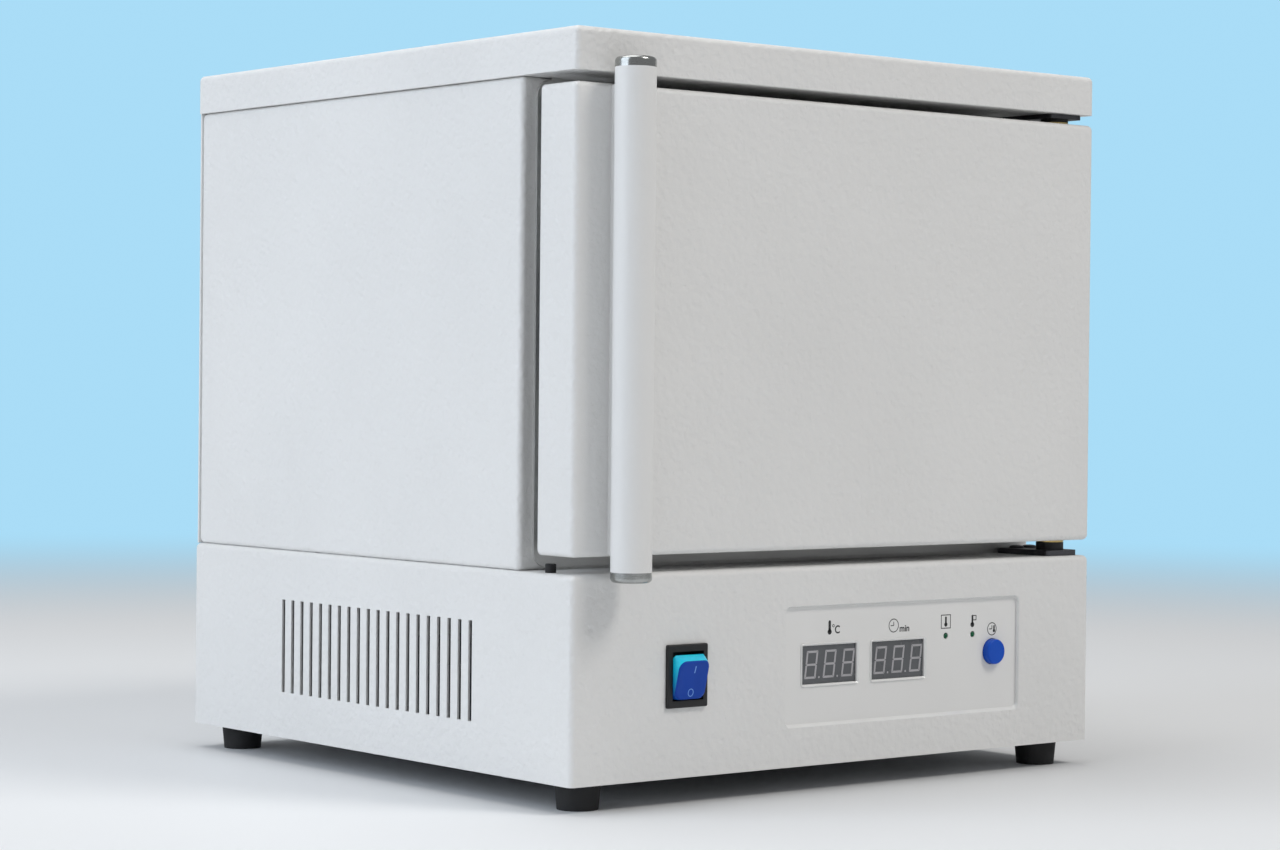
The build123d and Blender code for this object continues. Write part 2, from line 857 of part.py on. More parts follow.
# Chamber
def make_chamber_front_frame():
    width = 2 * (casing_half - frame_side_margin)
    low, high = deck + frame_end_margin, casing_top - frame_end_margin
    span = (frame_front, casing_front)
    frame = upright_plate(width, high - low, frame_corner, span, 0, middle((low, high)))
    return frame - upright_plate(mouth_width, mouth_height, chamber_corner, span, 0, door_z)


def facing_back(shape, y):
    return Plane(origin=(0, y, door_z), x_dir=(1, 0, 0), z_dir=(0, 1, 0)) * shape


def make_chamber_liner():
    width, height = mouth_width + 2 * liner_wall, mouth_height + 2 * liner_wall
    depth = chamber_depth + liner_wall
    liner = facing_back(
        folded_pan(width, height, depth, liner_wall, chamber_corner + liner_wall), casing_front
    )
    wall_span = (chamber_back, liner_back)
    liner -= [rod_y(x, z, element_radius, wall_span) for x, z in element_exits]
    return liner - rod_y(*probe_place, probe_radius, wall_span)


def make_chamber_insulation():
    half = casing_half - side_flange - insulation_clearance
    wool = block(
        (-half, half),
        (casing_front + sheet + insulation_clearance, insulation_back),
        (deck + sheet + insulation_clearance, casing_top - 2 * sheet),
    )
    width, height = mouth_width + 2 * liner_wall, mouth_height + 2 * liner_wall
    gap = insulation_clearance
    cavity = Pos(0, 0, (chamber_depth + liner_wall + gap) / 2) * Box(
        width + 2 * gap, height + 2 * gap, chamber_depth + liner_wall + gap
    )
    cavity = fillet(cavity.edges().filter_by(Axis.Z) + cavity.edges().group_by(Axis.Z)[-1], chamber_corner)
    wool -= facing_back(cavity, casing_front)
    through = (liner_back, insulation_back)
    wool -= [rod_y(x, z, element_radius + gap, through) for x, z in element_exits]
    wool -= rod_y(*probe_place, probe_radius + gap, through)
    pocket = (liner_back, liner_back + cutout_height + 2 * gap)
    return wool - rod_y(*cutout_place, cutout_radius + gap, pocket)


def make_heating_element():
    z = chamber_floor + element_height
    bend = (element_outer_leg - element_inner_leg) / 2 - element_bend_ease
    near, far = casing_front + element_front_gap, chamber_back - element_back_gap
    tail = insulation_back + element_tail
    route = FilletPolyline(
        (-element_outer_leg, tail, z),
        (-element_outer_leg, near, z),
        (-element_inner_leg, near, z),
        (-element_inner_leg, far, z),
        (element_inner_leg, far, z),
        (element_inner_leg, near, z),
        (element_outer_leg, near, z),
        (element_outer_leg, tail, z),
        radius=bend,
    )
    section = Plane(origin=route @ 0, z_dir=route % 0) * Circle(element_radius)
    return sweep(section, path=route)


def make_element_terminals():
    start = insulation_back + element_tail
    span = (start, start + terminal_stud_length)
    return [rod_y(x, z, terminal_stud_radius, span) for x, z in element_exits]


def make_element_nuts():
    span = (chamber_back - element_nut_height, chamber_back)
    return [hexagon_y(x, z, element_nut_flats, span, element_radius) for x, z in element_exits]


def make_floor_grille():
    near, far = casing_front + grille_front_gap, chamber_back - grille_back_gap
    top = chamber_floor + grille_height
    grille = block((-grille_half_width, grille_half_width), (near, far), (top - sheet, top))
    for side in (-1, 1):
        x_span = sorted((side * grille_half_width, side * (grille_half_width - sheet)))
        grille += block(x_span, (near, far), (chamber_floor, top))
    slots = slot_field(
        2 * grille_half_width, far - near, grille_columns, grille_rows, grille_bar, grille_slot_width, sheet
    )
    return grille - [Pos(0, middle((near, far)), top) * slot for slot in slots]


def make_tray_rack(side):
    wall = mouth_width / 2

    def across(outer, inner):
        return sorted((side * (wall - outer), side * (wall - inner)))

    rack = []
    z_span = (chamber_floor + rack_end_gap, chamber_roof - rack_end_gap)
    for start in (runner_front + rack_post_inset, runner_back - rack_post_inset - rack_post_width):
        rack.append(block(across(0, rack_thickness), (start, start + rack_post_width), z_span))
    run = (runner_front, runner_back)
    for level in range(runner_count):
        top = lowest_runner + level * runner_pitch
        rack.append(block(across(0, rack_thickness + runner_reach), run, (top - rack_thickness, top)))
        rack.append(block(across(0, rack_thickness), run, (top - rack_thickness, top + runner_upstand)))
    return rack[0].fuse(*rack[1:]).clean()


def make_tray(bottom):
    width, depth = 2 * tray_half_width, tray_depth
    outer = Pos(0, 0, tray_height / 2) * Box(width, depth, tray_height)
    outer = fillet(outer.edges().filter_by(Axis.Z), tray_corner)
    core = Pos(0, 0, (tray_height + tray_wall) / 2) * Box(
        width - 2 * tray_wall, depth - 2 * tray_wall, tray_height - tray_wall
    )
    tray = outer - fillet(core.edges().filter_by(Axis.Z), tray_corner - tray_wall)
    tray -= slot_field(width, depth, tray_columns, tray_rows, tray_bar, tray_slot_width, tray_wall)
    return Pos(0, tray_back - depth / 2, bottom) * tray


def make_temperature_probe():
    x, z = probe_place
    tip = chamber_back - probe_reach
    probe = rod_y(x, z, probe_radius, (tip, insulation_back + element_tail))
    probe = fillet(probe.edges().group_by(Axis.Y)[0], probe_radius / 2)
    nut = hexagon_y(x, z, probe_nut_flats, (chamber_back - probe_nut_height, chamber_back), probe_radius / 2)
    return probe + nut


def make_overheat_cutout():
    x, z = cutout_place
    return rod_y(x, z, cutout_radius, (liner_back, liner_back + cutout_height))


# Door
def make_door_shell():
    pan = folded_pan(body_width, door_height, door_depth, sheet, edge_radius)
    shell = Plane(origin=(0, door_back, door_z), x_dir=(1, 0, 0), z_dir=(0, -1, 0)) * pan
    lip_span = (door_back - inner_panel_thickness - sheet, door_back - inner_panel_thickness)
    width, height = body_width - sheet, door_height - sheet
    lip = upright_plate(width, height, edge_radius - sheet / 2, lip_span, 0, door_z)
    inset = 2 * door_lip + sheet
    lip -= upright_plate(width - inset, height - inset, edge_radius, lip_span, 0, door_z)
    for z_span in bush_spans():
        lip -= rod_z(pivot_x, pivot_y, bush_flange_radius + 2 * clearance, z_span)
    shell += lip
    shell -= [rod_z(pivot_x, pivot_y, bush_radius, z_span) for z_span in bush_spans()]
    hole = screw_radius + hole_clearance
    shell -= [rod_y(handle_x, door_z + z, hole, (front, front + sheet)) for z in handle_screw_heights]
    return shell - [rod_y(x, z, screw_radius, lip_span) for x, z in inner_panel_screw_places]


def bush_spans():
    return (door_bottom, door_bottom + bush_length), (door_top - bush_length, door_top)


def make_door_insulation():
    gap = sheet + door_fill_gap
    y_span = (front + gap, door_back - inner_panel_thickness - sheet - door_fill_gap)
    z_span = (door_bottom + gap, door_top - gap)
    wool = block((left + gap, half_width - gap), y_span, z_span)
    for low, high in bush_spans():
        wool -= rod_z(pivot_x, pivot_y, bush_flange_radius, (low, high + clearance))
        wool -= rod_z(pivot_x, pivot_y, bush_flange_radius, (low - clearance, high))
    for z in handle_screw_heights:
        head_pocket = (front, front + 3 * screw_head_height)
        wool -= rod_y(handle_x, door_z + z, screw_head_radius + door_fill_gap, head_pocket)
    reach = (y_span[1] - 6 * sheet, y_span[1])
    return wool - [rod_y(x, z, screw_radius + door_fill_gap, reach) for x, z in inner_panel_screw_places]


def gasket_outline(grow, y_span):
    width = mouth_width + 2 * (gasket_overlap + gasket_width + grow)
    height = mouth_height + 2 * (gasket_overlap + gasket_width + grow)
    return upright_plate(width, height, plateau_corner + grow, y_span, 0, door_z)


def make_door_inner_panel():
    gap = sheet + clearance
    width, height = body_width - 2 * gap, door_height - 2 * gap
    base_span = (door_back - inner_panel_thickness, door_back)
    panel = upright_plate(width, height, edge_radius, base_span, 0, door_z)
    panel += gasket_outline(0, (door_back - inner_panel_thickness, plateau_face))
    hollow = (door_back - inner_panel_thickness, plateau_face - inner_panel_thickness)
    panel -= gasket_outline(-inner_panel_thickness, hollow)
    hole = screw_radius + hole_clearance
    return panel - [rod_y(x, z, hole, base_span) for x, z in inner_panel_screw_places]


def make_inner_panel_screws():
    return [screw_in(x, z, door_back, 5 * sheet, -1) for x, z in inner_panel_screw_places]


def make_door_gasket():
    span = (plateau_face, frame_front - clearance)
    ring = gasket_outline(0, span) - gasket_outline(-gasket_width, span)
    return fillet(ring.edges().group_by(Axis.Y)[-1], gasket_edge)


# Handle
def make_handle_bar():
    half = handle_length / 2
    bar = rod_z(handle_x, handle_y, handle_radius, (door_z - half, door_z + half))
    door_end = door_height / 2 - web_end_setback
    tube_end = door_end + web_flare
    outline = Polyline(
        (front, -door_end), (front, door_end), (handle_y, tube_end), (handle_y, -tube_end), close=True
    )
    web = extrude(Plane.YZ * make_face(outline), web_thickness / 2, both=True)
    bar += Pos(handle_x, 0, door_z) * web
    bar -= rod_z(handle_x, handle_y, handle_radius - handle_wall, (door_z - half, door_z + half))
    return bar - [rod_y(handle_x, door_z + z, screw_radius, (handle_y, front)) for z in handle_screw_heights]


def make_handle_caps():
    caps = []
    for side in (-1, 1):
        seat = door_z + side * handle_length / 2
        cap = rod_z(handle_x, handle_y, handle_radius, sorted((seat, seat + side * cap_height)))
        cap = fillet(cap.edges().group_by(Axis.Z)[-1 if side > 0 else 0], cap_edge)
        spigot_radius = handle_radius - handle_wall - cap_spigot_gap
        cap += rod_z(handle_x, handle_y, spigot_radius, sorted((seat, seat - side * cap_spigot_length)))
        caps.append(cap)
    return caps


def make_handle_screws():
    length = sheet + handle_standoff - handle_radius + 2 * handle_wall
    return [screw_in(handle_x, door_z + z, front + sheet, length, -1) for z in handle_screw_heights]


# Hinge
def hinge_plate(z_span):
    y_span = (front + hinge_plate_front, frame_front - clearance)
    plate = block((pivot_x - hinge_plate_half_width, pivot_x + hinge_plate_half_width), y_span, z_span)
    plate = fillet(plate.edges().filter_by(Axis.Z), hinge_plate_corner)
    return plate - [rod_z(x, y, screw_radius + hole_clearance, z_span) for x, y in hinge_screw_places]


def make_upper_hinge_plate():
    z_span = (casing_top - upper_plate_thickness, casing_top)
    plate = hinge_plate(z_span)
    return plate + rod_z(pivot_x, pivot_y, hinge_pin_radius, (door_top - hinge_pin_reach, z_span[1]))


def make_lower_hinge_plate():
    z_span = (deck, deck + lower_plate_thickness)
    plate = hinge_plate(z_span)
    return plate + rod_z(pivot_x, pivot_y, hinge_pin_radius, (z_span[0], door_bottom + hinge_pin_reach))


def make_hinge_plate_screws():
    screws = []
    for x, y in hinge_screw_places:
        screws.append(screw_down(x, y, casing_top - upper_plate_thickness, hinge_screw_length, 1))
        screws.append(screw_down(x, y, deck + lower_plate_thickness, hinge_screw_length, -1))
    return screws


def make_hinge_collars():
    reach = bush_flange_thickness + clearance
    spans = (
        (deck + lower_plate_thickness, door_bottom - reach),
        (door_top + reach, casing_top - upper_plate_thickness),
    )
    return [
        rod_z(pivot_x, pivot_y, collar_radius, span) - rod_z(pivot_x, pivot_y, hinge_pin_radius, span)
        for span in spans
    ]


def make_hinge_bushes():
    flange_bottom = door_bottom - bush_flange_thickness
    flange_top = door_top + bush_flange_thickness
    lower = rod_z(pivot_x, pivot_y, bush_radius, (flange_bottom, door_bottom + bush_length))
    lower += rod_z(pivot_x, pivot_y, bush_flange_radius, (flange_bottom, door_bottom))
    upper = rod_z(pivot_x, pivot_y, bush_radius, (door_top - bush_length, flange_top))
    upper += rod_z(pivot_x, pivot_y, bush_flange_radius, (door_top, flange_top))
    bore = rod_z(pivot_x, pivot_y, hinge_pin_radius + running_clearance, (deck, casing_top))
    return [lower - bore, upper - bore]


# Door catch and rest
def catch_block(y_span):
    x_span = (left + magnet_from_left, left + magnet_from_left + magnet_width)
    return block(x_span, y_span, (door_z - magnet_height / 2, door_z + magnet_height / 2))


def make_catch_magnet():
    magnet = catch_block((frame_front - magnet_depth, frame_front))
    return chamfer(magnet.edges().group_by(Axis.Y)[0], clearance)


def make_catch_strike():
    strike = catch_block((door_back, frame_front - magnet_depth - clearance))
    return fillet(strike.edges().filter_by(Axis.Y), hinge_plate_corner)


def make_door_rest():
    x, y = left + rest_from_left, front + rest_behind_front
    rest = rod_z(x, y, rest_radius, (deck, deck + rest_height))
    return fillet(rest.edges().group_by(Axis.Z)[-1], rest_radius / 4)


PARTS = {
    "rubber_feet": make_rubber_feet(),
    "foot_screws": make_foot_screws(),
    "base_plate": make_base_plate(),
    "base_plate_screws": make_base_plate_screws(),
    "base_housing": make_base_housing(),
    "control_panel": make_control_panel(),
    "panel_nuts": make_panel_nuts(),
    "temperature_display": make_display(display_places()[0]),
    "timer_display": make_display(display_places()[1]),
    "indicator_lamps": make_indicator_lamps(),
    "timer_button": make_timer_button(),
    "button_switch": make_button_switch(),
    "control_board": make_control_board(),
    "board_standoffs": make_board_standoffs(),
    "switch_housing": make_switch_housing(),
    "power_rocker": make_power_rocker(),
    "mains_inlet": make_mains_inlet(),
    "inlet_pins": make_inlet_pins(),
    "inlet_screws": make_inlet_screws(),
    "power_transformer": make_power_transformer(),
    "heater_relay": make_heater_relay(),
    "terminal_block": make_terminal_block(),
    "left_side_panel": make_side_panel(-1),
    "right_side_panel": make_side_panel(1),
    "rear_panel": make_rear_panel(),
    "rear_panel_screws": make_rear_panel_screws(),
    "top_cover": make_top_cover(),
    "cover_screws": make_cover_screws(),
    "upper_front_rail": make_upper_front_rail(),
    "lower_front_rail": make_lower_front_rail(),
    "chamber_front_frame": make_chamber_front_frame(),
    "chamber_liner": make_chamber_liner(),
    "chamber_insulation": make_chamber_insulation(),
    "heating_element": make_heating_element(),
    "element_terminals": make_element_terminals(),
    "element_nuts": make_element_nuts(),
    "floor_grille": make_floor_grille(),
    "left_tray_rack": make_tray_rack(-1),
    "right_tray_rack": make_tray_rack(1),
    "lower_tray": make_tray(lower_tray_bottom),
    "upper_tray": make_tray(upper_tray_bottom),
    "temperature_probe": make_temperature_probe(),
    "overheat_cutout": make_overheat_cutout(),
    "door_shell": make_door_shell(),
    "door_insulation": make_door_insulation(),
    "door_inner_panel": make_door_inner_panel(),
    "inner_panel_screws": make_inner_panel_screws(),
    "door_gasket": make_door_gasket(),
    "handle_bar": make_handle_bar(),
    "handle_caps": make_handle_caps(),
    "handle_screws": make_handle_screws(),
    "upper_hinge_plate": make_upper_hinge_plate(),
    "lower_hinge_plate": make_lower_hinge_plate(),
    "hinge_plate_screws": make_hinge_plate_screws(),
    "hinge_collars": make_hinge_collars(),
    "hinge_bushes": make_hinge_bushes(),
    "catch_magnet": make_catch_magnet(),
    "catch_strike": make_catch_strike(),
    "door_rest": make_door_rest(),
}

os.makedirs("parts", exist_ok=True)
for name, piece in PARTS.items():
    solids = piece if isinstance(piece, list) else [piece]
    export_step(Compound([solid for shape in solids for solid in shape.solids()]), f"parts/{name}.step")
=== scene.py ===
import json
import math

import bmesh
import bpy
from mathutils import Matrix, Vector


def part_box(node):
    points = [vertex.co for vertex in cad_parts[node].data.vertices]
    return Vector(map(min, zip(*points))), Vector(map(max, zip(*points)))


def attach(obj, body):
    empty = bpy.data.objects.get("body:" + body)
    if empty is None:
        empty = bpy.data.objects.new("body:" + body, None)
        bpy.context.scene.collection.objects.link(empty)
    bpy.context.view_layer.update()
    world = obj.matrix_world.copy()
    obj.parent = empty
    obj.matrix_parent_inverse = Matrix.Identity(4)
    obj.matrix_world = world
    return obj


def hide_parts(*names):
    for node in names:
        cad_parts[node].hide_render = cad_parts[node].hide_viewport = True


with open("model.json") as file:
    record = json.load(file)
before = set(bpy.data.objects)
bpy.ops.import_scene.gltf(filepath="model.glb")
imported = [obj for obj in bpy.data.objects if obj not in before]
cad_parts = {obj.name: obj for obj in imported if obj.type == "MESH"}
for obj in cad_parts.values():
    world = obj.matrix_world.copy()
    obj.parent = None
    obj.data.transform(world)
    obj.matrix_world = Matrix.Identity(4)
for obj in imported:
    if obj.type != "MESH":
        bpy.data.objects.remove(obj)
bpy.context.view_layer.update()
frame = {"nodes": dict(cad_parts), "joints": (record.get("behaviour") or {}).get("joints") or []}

# Looks for the hot air sterilizer. Metres, in the same frame as the solids:
# X to the right, Y to the back, Z up.

nodes = frame["nodes"]

# Camera, solved from the photograph's straight edges
camera_place = Vector((-1.0710, -1.3095, 0.2056))
camera_yaw = math.radians(39.09)
camera_pitch = math.radians(-0.754)
camera_roll = math.radians(0.55)
camera_focal_px = 3064.8
photo_width_px = 1280
sensor_width = 36.0

# Stage
floor_radius = 9.0
floor_segments = 96
floor_roughness = 0.6
floor_fade_start = 0.9
floor_fade_end = 2.6
floor_tone = (0.77, 0.78, 0.79)
backdrop_tone = (0.40, 0.72, 0.93)
world_light = (0.96, 0.98, 1.0)
world_strength = 0.31

# Softboxes: name, place, target, size, power in watts, color
softboxes = (
    ("left_softbox", (-2.2, 0.4, 1.3), (0, 0, 0.2), (2.0, 2.0), 31, (0.80, 0.89, 1.0)),
    ("key_softbox", (0.9, -1.9, 2.6), (0, 0, 0.2), (0.9, 0.9), 38, (1.0, 0.97, 0.93)),
    ("top_softbox", (-0.3, 0.4, 2.2), (0, 0, 0.3), (1.6, 1.6), 20, (1.0, 1.0, 1.0)),
)

# Meshes
smooth_limit = math.radians(35.0)
weld_distance = 0.000002
corner_points = 7
circle_points = 28
capsule_points = 8

# Display digits
print_depth = 0.00003
digit_height = 0.0142
digit_width = 0.0078
digit_slant = 0.13
digit_pitch = 0.0127
digit_shift = 0.0008
segment_width = 0.0011
segment_gap = 0.00012
point_offset = 0.0053
point_radius = 0.00055
point_points = 16

# Marks on the control panel. Each stands over an anchor: a display, a lamp or the button.
# The second number in each row is how far the mark lies to the right of its anchor's middle.
print_line = 0.00046
print_boldness = 0.00012
clock_points = 40
clock_minute_hand = 0.55
clock_hour_hand = 0.6
degree_points = 20

# Anchor, shift, foot height, top height, bulb radius, stem radius
thermometer_marks = (
    ("temperature", -0.0002, 0.0792, 0.0865, 0.0014, 0.00085),
    ("first_lamp", 0.0, 0.0797, 0.0851, 0.00115, 0.00065),
    ("second_lamp", -0.0002, 0.0786, 0.0852, 0.0014, 0.00062),
    ("button", 0.0015, 0.0752, 0.0791, 0.0009, 0.00055),
)

# Anchor, shift, middle height, radius
clock_marks = (
    ("timer", -0.0033, 0.0819, 0.0036),
    ("button", -0.0001, 0.0771, 0.0035),
)

# Anchor, shift, middle height, half width, half height
box_marks = (
    ("first_lamp", 0.0, 0.0824, 0.0036, 0.0037),
    ("second_lamp", 0.0014, 0.0836, 0.0014, 0.0014),
)

# Anchor, shift, middle height, outer radius, inner radius
degree_marks = (
    ("temperature", 0.0024, 0.0836, 0.0008, 0.00045),
)

# Anchor, shift, foot height, words, letter height, share of the letters' own width
word_marks = (
    ("temperature", 0.0033, 0.0797, "C", 0.0056, 0.92),
    ("timer", 0.0008, 0.0786, "min", 0.0048, 1.02),
)

# Pocket of the control panel, and rims of the display windows
pocket_lower_slope = 0.0018
pocket_upper_slope = 0.0008
pocket_end_slope = 0.0004
pocket_corner = 0.003
pocket_lip_width = 0.00028
pocket_lip_depth = 0.0002
panel_hidden_margin = 0.01
rim_width = 0.0014
rim_height = 0.0008
rim_corner = 0.0002
rim_clearance = 0.0001
rim_inner_corner = 0.0003

# Section of a rim: shares of its width and of its height, from the window outwards
rim_profile = ((0.08, 0.12), (0.4, 0.6), (0.72, 1.0), (0.88, 0.8), (1.0, 0.05))

# Screws
screw_segments = 28
screw_spin_step = 0.9
recess_width = 0.22
recess_length = 1.15
recess_depth = 0.62
recess_taper = 0.55
recess_reach = 1.2
head_rim_share = 0.98
shank_least_share = 0.2
middle_tolerance = 0.00001
flush_tolerance = 0.000001

# Section of a screw's head above its seat: shares of its radius and of its height
head_profile = ((1.0, 0.0), (1.0, 0.35), (0.93, 0.64), (0.74, 0.86), (0.45, 0.97), (0.0, 1.0))

# Rocker
rocker_tilt = math.radians(14.0)
rocker_reach = 0.008
rocker_hollow = 0.0009
rocker_half_height = 0.0102
# Heights where the painted glow on the rocker's sides begins and where it is full
painted_glow_low = 0.054
painted_glow_high = 0.069

# Half width, half height and corner radius of the rocker's face and of its root
rocker_face_size = (0.0089, 0.0092, 0.0040)
rocker_face_shares = (0.25, 0.5, 0.75, 0.9, 1.0)
rocker_root_size = (0.0096, 0.0042, 0.0008)
rocker_root_y = 0.0040

# The same for the rounded edge and the sides, and how far each lies behind the face
rocker_skirt = (
    (0.0093, 0.0096, 0.0041, 0.0002),
    (0.0095, 0.0099, 0.0040, 0.0007),
    (0.0096, 0.0104, 0.0032, 0.0024),
    (0.0096, 0.0110, 0.0022, 0.0046),
    (0.0096, 0.0113, 0.0014, 0.0062),
)
axle_radius = 0.0012
axle_place = 0.0096
axle_sunk = 0.0002
axle_proud = 0.0008
axle_segments = 20
on_mark_x = 0.0006
on_mark_low = 0.0035
on_mark_high = 0.0072
on_mark_width = 0.0006
off_mark_z = -0.0064
off_mark_radius = 0.0020
off_mark_squash = 0.9
off_mark_inner_radius = 0.0016
off_mark_inner_squash = 0.85

# Colors and grain directions that several materials share.
# A grain is drawn out along the axis with the small number.
coat_white = (0.80, 0.795, 0.785)
grain_along_x = (1.0, 22.0, 22.0)
grain_along_y = (22.0, 1.0, 22.0)
grain_of_rolled_sheet = (1.0, 6.0, 1.0)
grain_of_laminations = (1.0, 30.0, 1.0)

# Band that most of a noise's values lie in
noise_low = 0.3
noise_high = 0.7

# Color sockets of the mix node, which share their names with its other sockets
mix_first = 6
mix_second = 7
mix_result = 2


# Materials
class Shading:
    """A material and the nodes that feed its shader."""

    def __init__(self, name, color, **sockets):
        self.material = bpy.data.materials.new(name)
        self.material.use_nodes = True
        self.tree = self.material.node_tree
        self.shader = self.tree.nodes["Principled BSDF"]
        self.color = color
        self.shader.inputs["Base Color"].default_value = (*color, 1)
        for socket, value in sockets.items():
            self.shader.inputs[socket.replace("_", " ")].default_value = value
        self.place = self.add("ShaderNodeTexCoord").outputs["Object"]

    def add(self, kind, **values):
        node = self.tree.nodes.new(kind)
        for key, value in values.items():
            setattr(node, key, value)
        return node

    def link(self, source, target):
        self.tree.links.new(source, target)

    def stretched(self, stretch):
        mapping = self.add("ShaderNodeMapping")
        mapping.inputs["Scale"].default_value = stretch
        self.link(self.place, mapping.inputs["Vector"])
        return mapping.outputs["Vector"]

    def noise(self, scale, detail=2.0, roughness=0.5, stretch=(1, 1, 1), distortion=0.0):
        texture = self.add("ShaderNodeTexNoise")
        texture.inputs["Scale"].default_value = scale
        texture.inputs["Detail"].default_value = detail
        texture.inputs["Roughness"].default_value = roughness
        texture.inputs["Distortion"].default_value = distortion
        self.link(self.stretched(stretch), texture.inputs["Vector"])
        return texture.outputs["Fac"]

    def cells(self, scale):
        texture = self.add("ShaderNodeTexVoronoi", feature="SMOOTH_F1")
        texture.inputs["Scale"].default_value = scale
        texture.inputs["Smoothness"].default_value = 1.0
        self.link(self.place, texture.inputs["Vector"])
        return texture.outputs["Distance"]

    def remap(self, source, low, high, to_low=0.0, to_high=1.0):
        node = self.add("ShaderNodeMapRange")
        node.inputs["From Min"].default_value = low
        node.inputs["From Max"].default_value = high
        node.inputs["To Min"].default_value = to_low
        node.inputs["To Max"].default_value = to_high
        self.link(source, node.inputs["Value"])
        return node.outputs["Result"]

    def join(self, first, second, how="ADD"):
        node = self.add("ShaderNodeMath", operation=how)
        self.link(first, node.inputs[0])
        self.link(second, node.inputs[1])
        return node.outputs["Value"]

    def tint(self, mask, other, base=None):
        """Colors the surface with the other color where the mask is 1."""
        node = self.add("ShaderNodeMix", data_type="RGBA")
        self.link(mask, node.inputs["Factor"])
        if base is None:
            node.inputs[mix_first].default_value = (*self.color, 1)
        else:
            self.link(base, node.inputs[mix_first])
        node.inputs[mix_second].default_value = (*other, 1)
        self.link(node.outputs[mix_result], self.shader.inputs["Base Color"])
        return node.outputs[mix_result]

    def darken(self, mask, share):
        """Lets the color sink to a share of itself where the mask is 1."""
        self.tint(mask, tuple(value * share for value in self.color))

    def rough(self, source, low, high):
        roughness = self.remap(source, noise_low, noise_high, low, high)
        self.link(roughness, self.shader.inputs["Roughness"])

    def bump(self, source, distance):
        node = self.add("ShaderNodeBump")
        node.inputs["Strength"].default_value = 1.0
        node.inputs["Distance"].default_value = distance
        self.link(source, node.inputs["Height"])
        self.link(node.outputs["Normal"], self.shader.inputs["Normal"])


def powder_coat(name, color, grain=0.00045):
    """Hammered white powder coat: fine leathery relief, faint clouding, a soft sheen."""
    coat = Shading(name, color, Roughness=0.42)
    clouds = coat.noise(scale=9.0, detail=3.0)
    coat.darken(coat.remap(clouds, low=0.35, high=0.7), share=0.965)
    fine = coat.noise(scale=310.0, detail=3.0, roughness=0.6, distortion=0.6)
    coarse = coat.cells(scale=290.0)
    coat.rough(coat.noise(scale=140.0), low=0.36, high=0.5)
    coat.bump(coat.join(fine, coarse), grain)
    return coat.material


def satin_paint(name, color, **sockets):
    """Smooth satin film with the finest of grain."""
    film = Shading(name, color, Roughness=0.34, **sockets)
    clouds = film.noise(scale=14.0)
    film.darken(film.remap(clouds, low=0.35, high=0.7), share=0.97)
    film.rough(film.noise(scale=260.0), low=0.3, high=0.42)
    film.bump(film.noise(scale=1800.0), distance=0.00004)
    return film.material


def brushed_metal(name, color, stretch, roughness=0.3, stain=0.9):
    """Brushed sheet: long fine scratches, with clouded roughness."""
    metal = Shading(name, color, Metallic=1.0, Roughness=roughness)
    scratches = metal.noise(scale=90.0, detail=4.0, roughness=0.7, stretch=stretch)
    clouds = metal.noise(scale=12.0, detail=3.0)
    streaks = metal.join(scratches, clouds, "MULTIPLY")
    metal.darken(metal.remap(streaks, low=0.12, high=0.4, to_low=1.0, to_high=0.0), stain)
    metal.rough(scratches, low=roughness - 0.07, high=roughness + 0.1)
    metal.bump(scratches, distance=0.00003)
    return metal.material


def turned_metal(name, color, roughness):
    """Small turned or pressed fitting with fine tool marks and dulled patches."""
    metal = Shading(name, color, Metallic=1.0, Roughness=roughness)
    patches = metal.noise(scale=180.0, detail=3.0)
    metal.darken(metal.remap(patches, low=0.4, high=0.75), share=0.8)
    metal.rough(patches, low=roughness - 0.06, high=roughness + 0.1)
    metal.bump(metal.noise(scale=1500.0, stretch=(0.15, 0.15, 1.0)), distance=0.00002)
    return metal.material


def moulded(name, color, roughness, grain=0.00005, grain_scale=1200.0, **sockets):
    """Moulded plastic or rubber with a fine matt texture and faint mottling."""
    plastic = Shading(name, color, Roughness=roughness, **sockets)
    mottle = plastic.noise(scale=60.0, detail=3.0)
    plastic.darken(plastic.remap(mottle, low=0.35, high=0.7), share=0.86)
    plastic.rough(mottle, low=roughness - 0.05, high=roughness + 0.08)
    plastic.bump(plastic.noise(scale=grain_scale, detail=3.0), grain)
    return plastic.material


def heat_tinted(name):
    """Sheath of a tubular heater: dark steel with straw and blue heat colors along it."""
    sheath = Shading(name, (0.16, 0.15, 0.145), Metallic=1.0, Roughness=0.42)
    bands = sheath.noise(scale=24.0, detail=3.0, roughness=0.6)
    straw = sheath.tint(sheath.remap(bands, low=0.35, high=0.55), (0.24, 0.19, 0.12))
    sheath.tint(sheath.remap(bands, low=0.55, high=0.75), (0.12, 0.14, 0.19), straw)
    sheath.rough(sheath.noise(scale=300.0, detail=3.0), low=0.34, high=0.55)
    sheath.bump(sheath.noise(scale=900.0, detail=3.0), distance=0.00005)
    return sheath.material


def fibrous(name, color):
    """Matted wool with loose fibres."""
    wool = Shading(name, color, Roughness=0.95)
    fibres = wool.noise(scale=240.0, detail=6.0, roughness=0.75, stretch=(1.0, 1.0, 3.0), distortion=1.5)
    wool.darken(wool.remap(fibres, low=0.35, high=0.65), share=0.6)
    wool.bump(fibres, distance=0.0008)
    return wool.material


def circuit_board(name):
    """Green board with a faint grid of tracks."""
    board = Shading(name, (0.02, 0.13, 0.06), Roughness=0.35)
    tracks = board.add("ShaderNodeTexBrick")
    tracks.inputs["Scale"].default_value = 160.0
    tracks.inputs["Mortar Size"].default_value = 0.06
    board.link(board.place, tracks.inputs["Vector"])
    board.tint(tracks.outputs["Fac"], (0.04, 0.2, 0.1))
    board.bump(tracks.outputs["Fac"], distance=0.00005)
    return board.material


